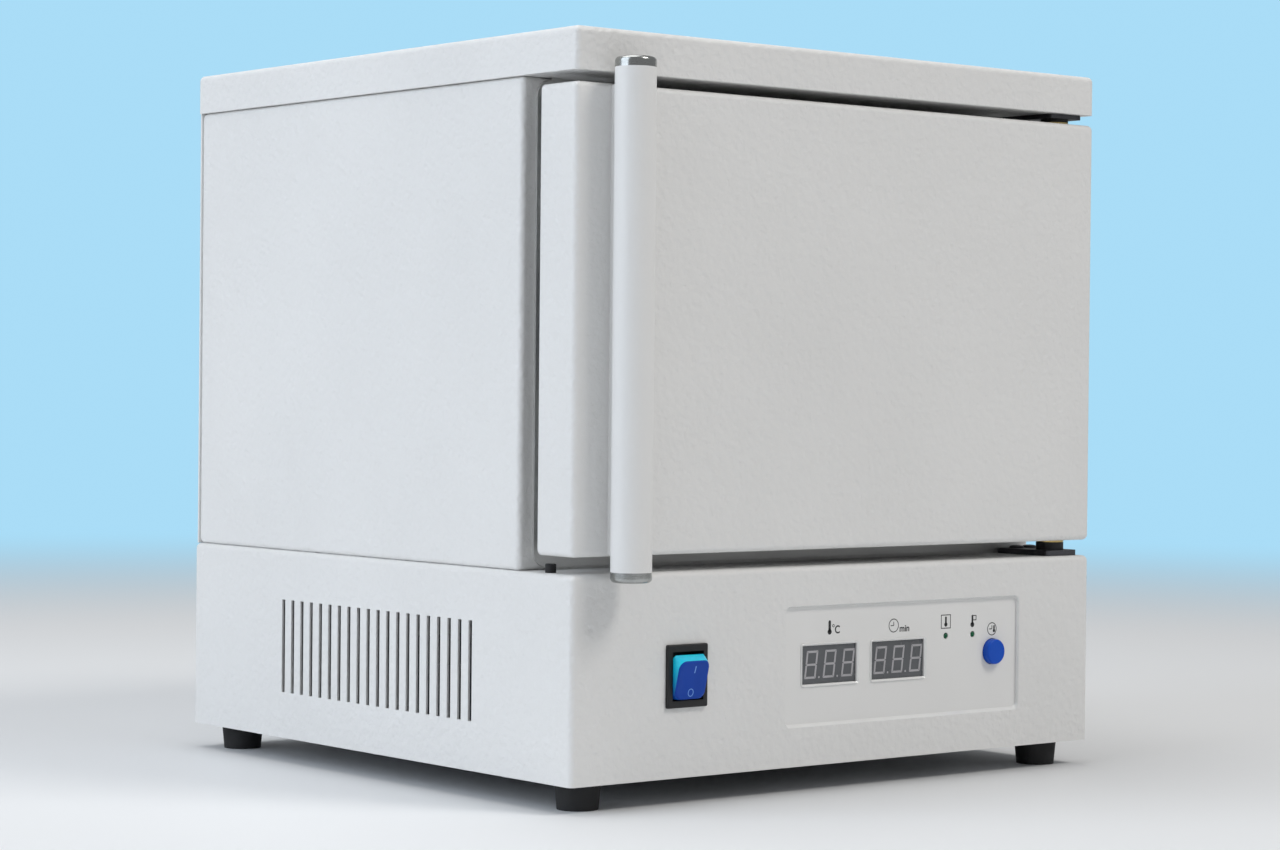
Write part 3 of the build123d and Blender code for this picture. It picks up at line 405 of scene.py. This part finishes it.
def translucent(name, color, roughness, depth):
    """Colored plastic that lets light in a little way."""
    plastic = Shading(name, color, Roughness=roughness, Specular_IOR_Level=0.25)
    plastic.shader.inputs["Subsurface Weight"].default_value = 0.2
    plastic.shader.inputs["Subsurface Scale"].default_value = depth
    plastic.shader.inputs["Subsurface Radius"].default_value = (0.2, 0.6, 1.0)
    streaks = plastic.noise(scale=40.0, stretch=(1.0, 1.0, 0.4))
    plastic.darken(plastic.remap(streaks, low=0.35, high=0.7), share=0.86)
    plastic.bump(plastic.noise(scale=700.0), distance=0.00002)
    return plastic.material


def edge_with_painted_glow(name, low_color, painted_glow_color):
    """Sides of a translucent rocker: a lighter blue than its face that turns bright cyan towards the top, a
    painted glow and painted light from above.
    """
    plastic = Shading(name, low_color, Roughness=0.28, Subsurface_Weight=0.4, Subsurface_Scale=0.004)
    split = plastic.add("ShaderNodeSeparateXYZ")
    plastic.link(plastic.place, split.inputs["Vector"])
    # Painted glow: the sides turn cyan with height, where light from above would fall
    rise = plastic.remap(split.outputs["Z"], painted_glow_low, painted_glow_high)
    patches = plastic.remap(plastic.noise(scale=200.0), noise_low, noise_high, to_low=0.85)
    plastic.tint(plastic.join(rise, patches, "MULTIPLY"), painted_glow_color)
    plastic.bump(plastic.noise(scale=700.0), distance=0.00002)
    return plastic.material


white_coat = powder_coat("white_hammered_coat", coat_white)
handle_coat = powder_coat("handle_coat", coat_white, grain=0.00012)
panel_film = satin_paint("panel_film", (0.81, 0.805, 0.795))
# Lighter, glossier copy of the white paint for the pocket's slopes and the window rims: the lighter tone is
# a painted highlight
bent_edge_painted_highlight = satin_paint(
    "bent_edge_painted_highlight", (0.86, 0.86, 0.85), Coat_Weight=1.0, Coat_Roughness=0.25, Coat_IOR=1.8
)
stainless_level = brushed_metal("stainless_sheet", (0.62, 0.62, 0.61), grain_along_x)
stainless_liner = brushed_metal("stainless_liner", (0.60, 0.59, 0.57), grain_along_y, roughness=0.26)
zinc_sheet = brushed_metal(
    "zinc_sheet", (0.55, 0.56, 0.58), grain_of_rolled_sheet, roughness=0.42, stain=0.8
)
zinc_screw = turned_metal("zinc_screw", (0.6, 0.61, 0.62), roughness=0.3)
brass = turned_metal("brass_fitting", (0.72, 0.55, 0.24), roughness=0.28)
cap_steel = turned_metal("polished_cap", (0.42, 0.43, 0.42), roughness=0.2)
frame_steel = brushed_metal("frame_steel", (0.78, 0.78, 0.77), grain_along_x, roughness=0.5)
hinge_steel = turned_metal("dark_hinge_steel", (0.11, 0.11, 0.12), roughness=0.4)
steel_core = brushed_metal(
    "core_laminations", (0.2, 0.2, 0.21), grain_of_laminations, roughness=0.5, stain=0.6
)
black_rubber = moulded(
    "black_rubber", (0.014, 0.014, 0.015), roughness=0.72, grain=0.00008, grain_scale=900.0
)
black_plastic = moulded("black_plastic", (0.010, 0.010, 0.011), roughness=0.5)
grey_plastic = moulded("grey_plastic", (0.09, 0.095, 0.1), roughness=0.5)
white_plastic = moulded("white_plastic", (0.72, 0.72, 0.68), roughness=0.45)
magnet_black = moulded("magnet_black", (0.03, 0.03, 0.032), roughness=0.55)
silicone = moulded(
    "silicone_seal", (0.42, 0.42, 0.4), roughness=0.55, grain=0.00006, grain_scale=500.0,
    Subsurface_Weight=0.1, Subsurface_Scale=0.002,
)
heater_sheath = heat_tinted("heater_sheath")
mineral_wool = fibrous("mineral_wool", (0.66, 0.6, 0.42))
board_green = circuit_board("board_green")
smoked_window = moulded(
    "smoked_window", (0.075, 0.08, 0.088), roughness=0.22, grain=0.00001, grain_scale=900.0,
    Coat_Weight=0.5,
)
segment_grey = moulded("segment_unlit", (0.44, 0.43, 0.45), roughness=0.5, grain=0.00002)
print_black = moulded("print_black", (0.02, 0.02, 0.022), roughness=0.5, grain=0.00001)
print_pale = moulded("print_pale", (0.16, 0.36, 0.82), roughness=0.5, grain=0.00001)
button_blue = translucent("button_blue", (0.003, 0.085, 0.56), roughness=0.4, depth=0.002)
rocker_blue = translucent("rocker_blue", (0.002, 0.055, 0.4), roughness=0.42, depth=0.002)
# The rocker's sides: a lighter blue than its face, turning cyan towards the top, which is painted glow
rocker_painted_glow = edge_with_painted_glow("rocker_edge_painted_glow", (0.006, 0.09, 0.45), (0.01, 0.72, 0.98))
lamp_green = translucent("lamp_green", (0.012, 0.12, 0.055), roughness=0.2, depth=0.001)

node_materials = {
    white_coat: [
        "base_housing", "left_side_panel", "right_side_panel", "rear_panel", "top_cover",
        "upper_front_rail", "lower_front_rail", "door_shell",
    ],
    handle_coat: ["handle_bar"],
    panel_film: ["control_panel"],
    frame_steel: ["chamber_front_frame"],
    stainless_level: [
        "floor_grille", "left_tray_rack", "right_tray_rack", "lower_tray", "upper_tray",
        "temperature_probe", "door_inner_panel",
    ],
    stainless_liner: ["chamber_liner"],
    zinc_sheet: ["base_plate", "catch_strike"],
    zinc_screw: [
        "foot_screws", "base_plate_screws", "panel_nuts", "inlet_screws", "rear_panel_screws",
        "cover_screws", "element_terminals", "inner_panel_screws", "handle_screws",
    ],
    brass: ["board_standoffs", "inlet_pins", "element_nuts", "overheat_cutout", "hinge_bushes"],
    cap_steel: ["handle_caps"],
    hinge_steel: ["upper_hinge_plate", "lower_hinge_plate", "hinge_plate_screws"],
    steel_core: ["power_transformer"],
    black_rubber: ["rubber_feet", "door_rest"],
    black_plastic: ["button_switch", "switch_housing", "mains_inlet", "hinge_collars"],
    grey_plastic: ["heater_relay"],
    white_plastic: ["terminal_block"],
    magnet_black: ["catch_magnet"],
    silicone: ["door_gasket"],
    heater_sheath: ["heating_element"],
    mineral_wool: ["chamber_insulation", "door_insulation"],
    board_green: ["control_board"],
    smoked_window: ["temperature_display", "timer_display"],
    button_blue: ["timer_button"],
    rocker_blue: ["power_rocker"],
    lamp_green: ["indicator_lamps"],
}
for material, names in node_materials.items():
    for name in names:
        nodes[name].data.materials.clear()
        nodes[name].data.materials.append(material)


# Helpers for meshes and objects
def mesh_of(form, name):
    """Turns a bmesh into a mesh whose faces look outwards, and frees it."""
    bmesh.ops.recalc_face_normals(form, faces=form.faces)
    mesh = bpy.data.meshes.new(name)
    form.to_mesh(mesh)
    form.free()
    return mesh


def add_object(name, data):
    """Puts a new object in the scene."""
    thing = bpy.data.objects.new(name, data)
    bpy.context.scene.collection.objects.link(thing)
    return thing


def finish_piece(name, form, materials, body):
    """Makes an object of a bmesh, shades it, and lets it ride on its body."""
    mesh = mesh_of(form, name)
    for material in materials:
        mesh.materials.append(material)
    for face in mesh.polygons:
        face.use_smooth = True
    mesh.set_sharp_from_angle(angle=smooth_limit)
    piece = add_object(name, mesh)
    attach(piece, body)
    return piece


def around(count):
    """Angles of a full turn in equal steps."""
    return [2 * math.pi * index / count for index in range(count)]


def ring_at(form, outline, y):
    """Points of an outline in the XZ plane, at one depth."""
    return [form.verts.new((x, y, z)) for x, z in outline]


def bridge(form, first, second, material_index=0):
    """Band of four-sided faces between two closed rings with as many points."""
    count = len(first)
    for index in range(count):
        after = (index + 1) % count
        face = form.faces.new((first[index], first[after], second[after], second[index]))
        face.material_index = material_index


def plate(form, outline, y_front, thickness, hole=None):
    """Thin flat plate in the XZ plane. Its hole is an outline with as many points as its own."""
    front = ring_at(form, outline, y_front)
    rear = ring_at(form, outline, y_front + thickness)
    bridge(form, front, rear)
    if hole is None:
        form.faces.new(front)
        form.faces.new(rear)
        return
    front_hole = ring_at(form, hole, y_front)
    rear_hole = ring_at(form, hole, y_front + thickness)
    bridge(form, front_hole, rear_hole)
    bridge(form, front, front_hole)
    bridge(form, rear, rear_hole)


def swept_ring(form, sections):
    """Closed ring through outlines, each given with its depth, and back to the first one."""
    loops = [ring_at(form, outline, y) for outline, y in sections]
    for first, second in zip(loops, loops[1:] + loops[:1]):
        bridge(form, first, second)


def lathe(form, profile, segments, place):
    """Turns (radius, height) pairs about Z and moves the result to place."""
    rings = []
    for radius, height in profile:
        turns = around(segments) if radius else [0.0]
        ring = [Vector((radius * math.cos(turn), radius * math.sin(turn), height)) for turn in turns]
        rings.append([form.verts.new(place @ point) for point in ring])
    for first, second in zip(rings, rings[1:]):
        for index in range(segments):
            after = (index + 1) % segments
            corners = [first[index % len(first)], first[after % len(first)]]
            corners += [second[after % len(second)], second[index % len(second)]]
            form.faces.new(list(dict.fromkeys(corners)))


def circle(x, z, radius, count=circle_points, squash=1.0):
    return [
        (x + squash * radius * math.cos(turn), z + radius * math.sin(turn)) for turn in around(count)
    ]


def capsule(x, z_low, z_high, radius):
    """Upright rounded bar."""
    half_turn = [math.pi * index / capsule_points for index in range(capsule_points + 1)]
    z_upper, z_lower = z_high - radius, z_low + radius
    upper = [(x + radius * math.cos(turn), z_upper + radius * math.sin(turn)) for turn in half_turn]
    lower = [(x - radius * math.cos(turn), z_lower - radius * math.sin(turn)) for turn in half_turn]
    return upper + lower


def stroke(start, end, width):
    """Straight bar between two points."""
    run = Vector((end[0] - start[0], end[1] - start[1]))
    side = Vector((-run.y, run.x)).normalized() * width / 2
    corners = ((start, 1), (end, 1), (end, -1), (start, -1))
    return [(point[0] + sign * side.x, point[1] + sign * side.y) for point, sign in corners]


def rectangle(x, z, half_width, half_height):
    signs = ((-1, -1), (1, -1), (1, 1), (-1, 1))
    return [(x + side * half_width, z + end * half_height) for side, end in signs]


def rounded_rectangle(half_width, half_height, radius, middle_x=0.0, middle_z=0.0):
    ring = []
    for side, end, quarter in ((1, 1, 0), (-1, 1, 1), (-1, -1, 2), (1, -1, 3)):
        for index in range(corner_points):
            turn = math.pi / 2 * (quarter + index / (corner_points - 1))
            x = side * (half_width - radius) + radius * math.cos(turn)
            z = end * (half_height - radius) + radius * math.sin(turn)
            ring.append((middle_x + x, middle_z + z))
    return ring


def measure_box(node):
    """Middle of a node's box, with half of its width and half of its height."""
    low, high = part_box(node)
    half = (high - low) / 2
    return (low + high) / 2, half.x, half.z


def front_of(node):
    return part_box(node)[0].y


def islands(node):
    """Separate solids of a node, each as its list of points, in the order of the node's mesh."""
    form = bmesh.new()
    form.from_mesh(nodes[node].data)
    bmesh.ops.remove_doubles(form, verts=form.verts, dist=weld_distance)
    reached = set()
    found = []
    for first in form.verts:
        if first in reached:
            continue
        reached.add(first)
        stack = [first]
        group = []
        while stack:
            vertex = stack.pop()
            group.append(vertex.co.copy())
            for edge in vertex.link_edges:
                other = edge.other_vert(vertex)
                if other not in reached:
                    reached.add(other)
                    stack.append(other)
        found.append(group)
    form.free()
    return found


# Screws with domed heads and cross recesses
def plain_screw(radius, height, shank_radius, shank_length):
    """A screw without its recess, along Z with its seat at zero."""
    shank = [(0.0, -shank_length), (shank_radius, -shank_length), (shank_radius, 0.0)]
    head = [(radius * width, height * rise) for width, rise in head_profile]
    form = bmesh.new()
    lathe(form, shank + head, screw_segments, Matrix())
    return mesh_of(form, "screw_pattern")


def cross_cutter(radius, height):
    """Two tapered bars that cut a cross into a screw's head."""
    form = bmesh.new()
    for turn in (0.0, math.pi / 2):
        for vertex in bmesh.ops.create_cube(form, size=1.0)["verts"]:
            above = vertex.co.z > 0
            taper = 1.0 if above else recess_taper
            vertex.co.x *= recess_length * radius * taper
            vertex.co.y *= recess_width * radius * taper
            vertex.co.z = height * (recess_reach if above else 1 - recess_depth)
            vertex.co = Matrix.Rotation(turn, 3, "Z") @ vertex.co
    return mesh_of(form, "recess_pattern")


def recessed_screw(radius, height, shank_radius, shank_length):
    """One screw along Z with its seat at zero, as a mesh."""
    pattern = add_object("screw_pattern", plain_screw(radius, height, shank_radius, shank_length))
    tool = add_object("recess_pattern", cross_cutter(radius, height))
    cut = pattern.modifiers.new("recess", "BOOLEAN")
    cut.operation = "DIFFERENCE"
    cut.solver = "EXACT"
    cut.use_self = True
    cut.object = tool
    graph = bpy.context.evaluated_depsgraph_get()
    result = bpy.data.meshes.new_from_object(pattern.evaluated_get(graph))
    bpy.data.objects.remove(pattern)
    bpy.data.objects.remove(tool)
    return result


def measure_screw(points, axis):
    """Seat, outward direction, and head and shank sizes of one plain screw along an axis."""
    others = [index for index in range(3) if index != axis]
    seat = Vector((0, 0, 0))
    for index in others:
        values = [point[index] for point in points]
        seat[index] = (min(values) + max(values)) / 2
    along = [point[axis] for point in points]
    radii = [math.dist([point[i] for i in others], [seat[i] for i in others]) for point in points]
    head_radius = max(radii)
    rim = [place for place, radius in zip(along, radii) if radius > head_rim_share * head_radius]
    shank_radius = min(radius for radius in radii if radius > shank_least_share * head_radius)
    low, high = min(along), max(along)
    rim_low, rim_high = min(rim), max(rim)
    rim_past_middle = rim_high > (low + high) / 2 + middle_tolerance
    rim_at_end = abs(rim_high - high) < flush_tolerance
    direction = Vector((0, 0, 0))
    if rim_past_middle or rim_at_end:
        direction[axis] = 1
        seat[axis] = rim_low
        length = rim_low - low
    else:
        direction[axis] = -1
        seat[axis] = rim_high
        length = high - rim_high
    return seat, direction, head_radius, rim_high - rim_low, shank_radius, length


def make_screws(node, axis, body, material, slot):
    """Replaces a node's plain screws by detailed ones, one piece for the whole group."""
    measured = [measure_screw(points, axis) for points in islands(node)]
    pattern = recessed_screw(*measured[0][2:])
    group = bmesh.new()
    for number, (seat, direction, *_) in enumerate(measured):
        turned = direction.to_track_quat("Z", "Y").to_matrix().to_4x4()
        spin = Matrix.Rotation(screw_spin_step * number, 4, "Z")
        single = pattern.copy()
        single.transform(Matrix.Translation(seat) @ turned @ spin)
        group.from_mesh(single)
        bpy.data.meshes.remove(single)
    piece = finish_piece(node + "_detailed", group, [material], body)
    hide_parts(node)


# Node, axis of its screws (0 is X, 1 is Y, 2 is Z), body, material, slot
screw_groups = (
    ("foot_screws", 2, "cabinet", zinc_screw, "zinc_screw"),
    ("base_plate_screws", 2, "cabinet", zinc_screw, "zinc_screw"),
    ("rear_panel_screws", 1, "cabinet", zinc_screw, "zinc_screw"),
    ("cover_screws", 1, "cabinet", zinc_screw, "zinc_screw"),
    ("inlet_screws", 1, "cabinet", zinc_screw, "zinc_screw"),
    ("hinge_plate_screws", 2, "cabinet", hinge_steel, "dark_steel"),
    ("inner_panel_screws", 1, "door", zinc_screw, "zinc_screw"),
)
for group in screw_groups:
    make_screws(*group)


# Display digits
def digit_segments():
    """Outlines of the seven segments of a digit about its middle, mitred where they meet."""
    wide, tall = digit_width / 2, digit_height / 2
    inner_wide, inner_tall = wide - segment_width, tall - segment_width
    half_bar, gap = segment_width / 2, segment_gap
    for end in (-1, 1):
        yield [
            (-wide + gap, end * tall), (wide - gap, end * tall),
            (inner_wide - gap, end * inner_tall), (-inner_wide + gap, end * inner_tall),
        ]
        for side in (-1, 1):
            yield [
                (side * wide, end * (tall - gap)), (side * inner_wide, end * (inner_tall - gap)),
                (side * inner_wide, end * (half_bar + gap)), (side * (wide - half_bar), end * gap),
                (side * wide, end * (gap + half_bar / 2)),
            ]
    yield [
        (-inner_wide + gap, half_bar), (inner_wide - gap, half_bar), (wide - half_bar, 0),
        (inner_wide - gap, -half_bar), (-inner_wide + gap, -half_bar), (half_bar - wide, 0),
    ]


def make_digits(node):
    """Three unlit digits and their points on a display's window."""
    middle = measure_box(node)[0]
    print_y = front_of(node) - print_depth
    point_z = middle.z - digit_height / 2 + point_radius
    form = bmesh.new()
    for number in (-1, 0, 1):
        x_digit = middle.x + digit_shift + number * digit_pitch
        for outline in digit_segments():
            slanted = [(x_digit + x + digit_slant * z, middle.z + z) for x, z in outline]
            plate(form, slanted, print_y, print_depth)
        point = circle(x_digit + point_offset, point_z, point_radius, point_points)
        plate(form, point, print_y, print_depth)
    finish_piece(node.replace("display", "digits"), form, [segment_grey], "cabinet")


make_digits("temperature_display")
make_digits("timer_display")


# Marks printed on the control panel
panel_y = front_of("control_panel") - print_depth


def panel_plate(form, outline, hole=None):
    plate(form, outline, panel_y, print_depth, hole)


def ring_mark(form, x, z, radius, inner_radius, count):
    panel_plate(form, circle(x, z, radius, count), circle(x, z, inner_radius, count))


def degree_mark(form, x, z, radius, inner_radius):
    ring_mark(form, x, z, radius, inner_radius, degree_points)


def thermometer_mark(form, x, z_low, z_high, bulb_radius, stem_radius):
    bulb_z = z_low + bulb_radius
    panel_plate(form, circle(x, bulb_z, bulb_radius))
    panel_plate(form, capsule(x, bulb_z, z_high, stem_radius))


def clock_mark(form, x, z, radius):
    ring_mark(form, x, z, radius, radius - print_line, clock_points)
    panel_plate(form, stroke((x, z), (x, z + clock_minute_hand * radius), print_line))
    panel_plate(form, stroke((x, z), (x - clock_hour_hand * radius, z), print_line))


def box_mark(form, x, z, half_width, half_height):
    inside = rectangle(x, z, half_width - print_line, half_height - print_line)
    panel_plate(form, rectangle(x, z, half_width, half_height), inside)


def word_mark(form, x, z, words, height, width_share):
    """Printed letters, their lower left corner at x, z."""
    curve = bpy.data.curves.new("letters", "FONT")
    curve.body = words
    curve.size = height
    curve.extrude = print_depth / 2
    curve.offset = print_boldness
    holder = add_object("letters", curve)
    graph = bpy.context.evaluated_depsgraph_get()
    mesh = bpy.data.meshes.new_from_object(holder.evaluated_get(graph))
    upright = Matrix.Rotation(math.pi / 2, 4, "X")
    place = Matrix.Translation((x, panel_y + print_depth / 2, z))
    mesh.transform(place @ Matrix.Diagonal((width_share, 1, 1, 1)) @ upright)
    form.from_mesh(mesh)
    bpy.data.objects.remove(holder)


def find_anchors():
    """Where the things that carry a mark over them stand from left to right."""
    lamps = [sum(points, Vector()) / len(points) for points in islands("indicator_lamps")]
    first_lamp, second_lamp = sorted(lamp.x for lamp in lamps)
    return {
        "temperature": measure_box("temperature_display")[0].x,
        "timer": measure_box("timer_display")[0].x,
        "first_lamp": first_lamp,
        "second_lamp": second_lamp,
        "button": measure_box("timer_button")[0].x,
    }


def make_panel_marks():
    anchors = find_anchors()
    kinds = (
        (thermometer_mark, thermometer_marks),
        (degree_mark, degree_marks),
        (word_mark, word_marks),
        (clock_mark, clock_marks),
        (box_mark, box_marks),
    )
    form = bmesh.new()
    for draw, marks in kinds:
        for anchor, shift, *sizes in marks:
            draw(form, anchors[anchor] + shift, *sizes)
    finish_piece("panel_marks", form, [print_black], "cabinet")


make_panel_marks()


# Rocker
def rocker_face(z):
    """Depth of the rocker's hollow face at a height over its pivot."""
    return -rocker_reach + rocker_hollow * (1 - (z / rocker_half_height) ** 2)


def rocker_rings():
    """Rings from the middle of the rocker's face out to its edge and back to its root."""
    shapes = [(*(share * size for size in rocker_face_size), 0.0) for share in rocker_face_shares]
    shapes += rocker_skirt
    rings = []
    for half_width, half_height, radius, behind in shapes:
        outline = rounded_rectangle(half_width, half_height, radius)
        rings.append([(x, rocker_face(z) + behind, z) for x, z in outline])
    rings.append([(x, rocker_root_y, z) for x, z in rounded_rectangle(*rocker_root_size)])
    return rings


def make_rocker_cap(place):
    """Cap with a hollow face, sides with a painted glow, and an axle stub at each side."""
    form = bmesh.new()
    made = [[form.verts.new(place @ Vector(point)) for point in ring] for ring in rocker_rings()]
    for number, (first, second) in enumerate(zip(made, made[1:])):
        bridge(form, first, second, int(number > len(rocker_face_shares)))
    form.faces.new(made[0])
    form.faces.new(made[-1])
    stub = [(0.0, -axle_sunk), (axle_radius, -axle_sunk), (axle_radius, axle_proud), (0.0, axle_proud)]
    for side in (-1, 1):
        shift = Matrix.Translation((side * axle_place, 0, 0))
        lathe(form, stub, axle_segments, place @ shift @ Matrix.Rotation(side * math.pi / 2, 4, "Y"))
    # The second material paints a glow on the sides, brighter towards the top
    piece = finish_piece("rocker_cap", form, [rocker_blue, rocker_painted_glow], "rocker")
    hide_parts("power_rocker")


def make_rocker_marks(place):
    """On and off signs that follow the rocker's hollow face."""
    on_sign = stroke((on_mark_x, on_mark_low), (on_mark_x, on_mark_high), on_mark_width)
    off_sign = circle(0.0, off_mark_z, off_mark_radius, squash=off_mark_squash)
    off_inside = circle(0.0, off_mark_z, off_mark_inner_radius, squash=off_mark_inner_squash)
    form = bmesh.new()
    plate(form, on_sign, 0.0, print_depth)
    plate(form, off_sign, 0.0, print_depth, off_inside)
    for vertex in form.verts:
        vertex.co.y += rocker_face(vertex.co.z) - print_depth
        vertex.co = place @ vertex.co
    finish_piece("rocker_marks", form, [print_pale], "rocker")


def make_rocker():
    pivot = next(Vector(j["pos_m"]) for j in frame["joints"] if j["name"] == "power_rocker_pivot")
    place = Matrix.Translation(pivot) @ Matrix.Rotation(rocker_tilt, 4, "X")
    make_rocker_cap(place)
    make_rocker_marks(place)


make_rocker()


# Sloped walls of the panel's pocket, and the soft rims of the display windows
def make_pocket_slopes():
    """Fills the corner between the pocket's walls and the panel, so that the walls slope."""
    lip_y = front_of("base_housing") + pocket_lip_depth
    panel_front = front_of("control_panel")
    middle, half_width, half_height = measure_box("control_panel")
    half_width -= panel_hidden_margin
    half_height -= panel_hidden_margin
    mouth = rounded_rectangle(half_width, half_height, pocket_corner, middle.x, middle.z)
    lip = rounded_rectangle(
        half_width - pocket_lip_width, half_height - pocket_lip_width, pocket_corner, middle.x, middle.z
    )
    foot = rounded_rectangle(
        half_width - pocket_end_slope,
        half_height - (pocket_lower_slope + pocket_upper_slope) / 2,
        pocket_corner,
        middle.x,
        middle.z + (pocket_lower_slope - pocket_upper_slope) / 2,
    )
    form = bmesh.new()
    swept_ring(form, [(mouth, lip_y), (lip, lip_y), (foot, panel_front - print_depth), (mouth, panel_front)])
    finish_piece("pocket_slopes", form, [bent_edge_painted_highlight], "cabinet")


def make_rim(node):
    """Soft raised rim round a display's window."""
    panel_front = front_of("control_panel")
    middle, half_width, half_height = measure_box(node)
    sections = [
        (rim_width * width, rim_corner + rim_width * width, panel_front - rim_height * rise)
        for width, rise in rim_profile
    ]
    sections.append((rim_clearance, rim_inner_corner, panel_front + print_depth))
    form = bmesh.new()
    outlines = [
        (rounded_rectangle(half_width + out, half_height + out, corner, middle.x, middle.z), y)
        for out, corner, y in sections
    ]
    swept_ring(form, outlines)
    finish_piece(node.replace("display", "window_rim"), form, [bent_edge_painted_highlight], "cabinet")


make_pocket_slopes()
make_rim("temperature_display")
make_rim("timer_display")


# Stage
def floor_material():
    """Pale floor that fades into the backdrop far from the object, for the camera only."""
    ground = Shading("floor", floor_tone, Roughness=floor_roughness)
    distance = ground.add("ShaderNodeVectorMath", operation="LENGTH")
    ground.link(ground.place, distance.inputs[0])
    fade = ground.add("ShaderNodeMapRange", interpolation_type="SMOOTHSTEP")
    fade.inputs["From Min"].default_value = floor_fade_start
    fade.inputs["From Max"].default_value = floor_fade_end
    ground.link(distance.outputs["Value"], fade.inputs["Value"])
    rays = ground.add("ShaderNodeLightPath")
    seen = ground.join(fade.outputs["Result"], rays.outputs["Is Camera Ray"], "MULTIPLY")
    far = ground.add("ShaderNodeEmission")
    far.inputs["Color"].default_value = (*backdrop_tone, 1)
    mixed = ground.add("ShaderNodeMixShader")
    ground.link(seen, mixed.inputs["Fac"])
    ground.link(ground.shader.outputs["BSDF"], mixed.inputs[1])
    ground.link(far.outputs["Emission"], mixed.inputs[2])
    ground.link(mixed.outputs["Shader"], ground.tree.nodes["Material Output"].inputs["Surface"])
    return ground.material


def make_floor():
    form = bmesh.new()
    bmesh.ops.create_circle(form, cap_ends=True, radius=floor_radius, segments=floor_segments)
    floor = add_object("floor", mesh_of(form, "floor"))
    floor.data.materials.append(floor_material())


def make_world():
    """Even light on the object, and the pale backdrop that the camera sees."""
    world = bpy.data.worlds.new("studio")
    bpy.context.scene.world = world
    world.use_nodes = True
    tree = world.node_tree
    light = tree.nodes["Background"]
    light.inputs["Color"].default_value = (*world_light, 1)
    light.inputs["Strength"].default_value = world_strength
    seen = tree.nodes.new("ShaderNodeBackground")
    seen.inputs["Color"].default_value = (*backdrop_tone, 1)
    rays = tree.nodes.new("ShaderNodeLightPath")
    mixed = tree.nodes.new("ShaderNodeMixShader")
    tree.links.new(rays.outputs["Is Camera Ray"], mixed.inputs["Fac"])
    tree.links.new(light.outputs["Background"], mixed.inputs[1])
    tree.links.new(seen.outputs["Background"], mixed.inputs[2])
    tree.links.new(mixed.outputs["Shader"], tree.nodes["World Output"].inputs["Surface"])


def make_softbox(name, place, target, size, power, color):
    data = bpy.data.lights.new(name, "AREA")
    data.shape = "RECTANGLE"
    data.size, data.size_y = size
    data.energy = power
    data.color = color
    light = add_object(name, data)
    light.location = place
    light.rotation_mode = "QUATERNION"
    light.rotation_quaternion = (Vector(target) - Vector(place)).to_track_quat("-Z", "Y")


def make_camera():
    forward = Vector((
        math.sin(camera_yaw) * math.cos(camera_pitch),
        math.cos(camera_yaw) * math.cos(camera_pitch),
        math.sin(camera_pitch),
    ))
    level_right = Vector((math.cos(camera_yaw), -math.sin(camera_yaw), 0))
    level_up = level_right.cross(forward)
    right = level_right * math.cos(camera_roll) + level_up * math.sin(camera_roll)
    up = -level_right * math.sin(camera_roll) + level_up * math.cos(camera_roll)
    data = bpy.data.cameras.new("photo_view")
    data.sensor_width = sensor_width
    data.lens = camera_focal_px / photo_width_px * sensor_width
    camera = add_object("photo_view", data)
    turned = Matrix((right, up, -forward)).transposed().to_4x4()
    camera.matrix_world = Matrix.Translation(camera_place) @ turned
    bpy.context.scene.camera = camera


make_floor()
make_world()
for softbox in softboxes:
    make_softbox(*softbox)
make_camera()
bpy.context.scene.view_settings.view_transform = "Standard"
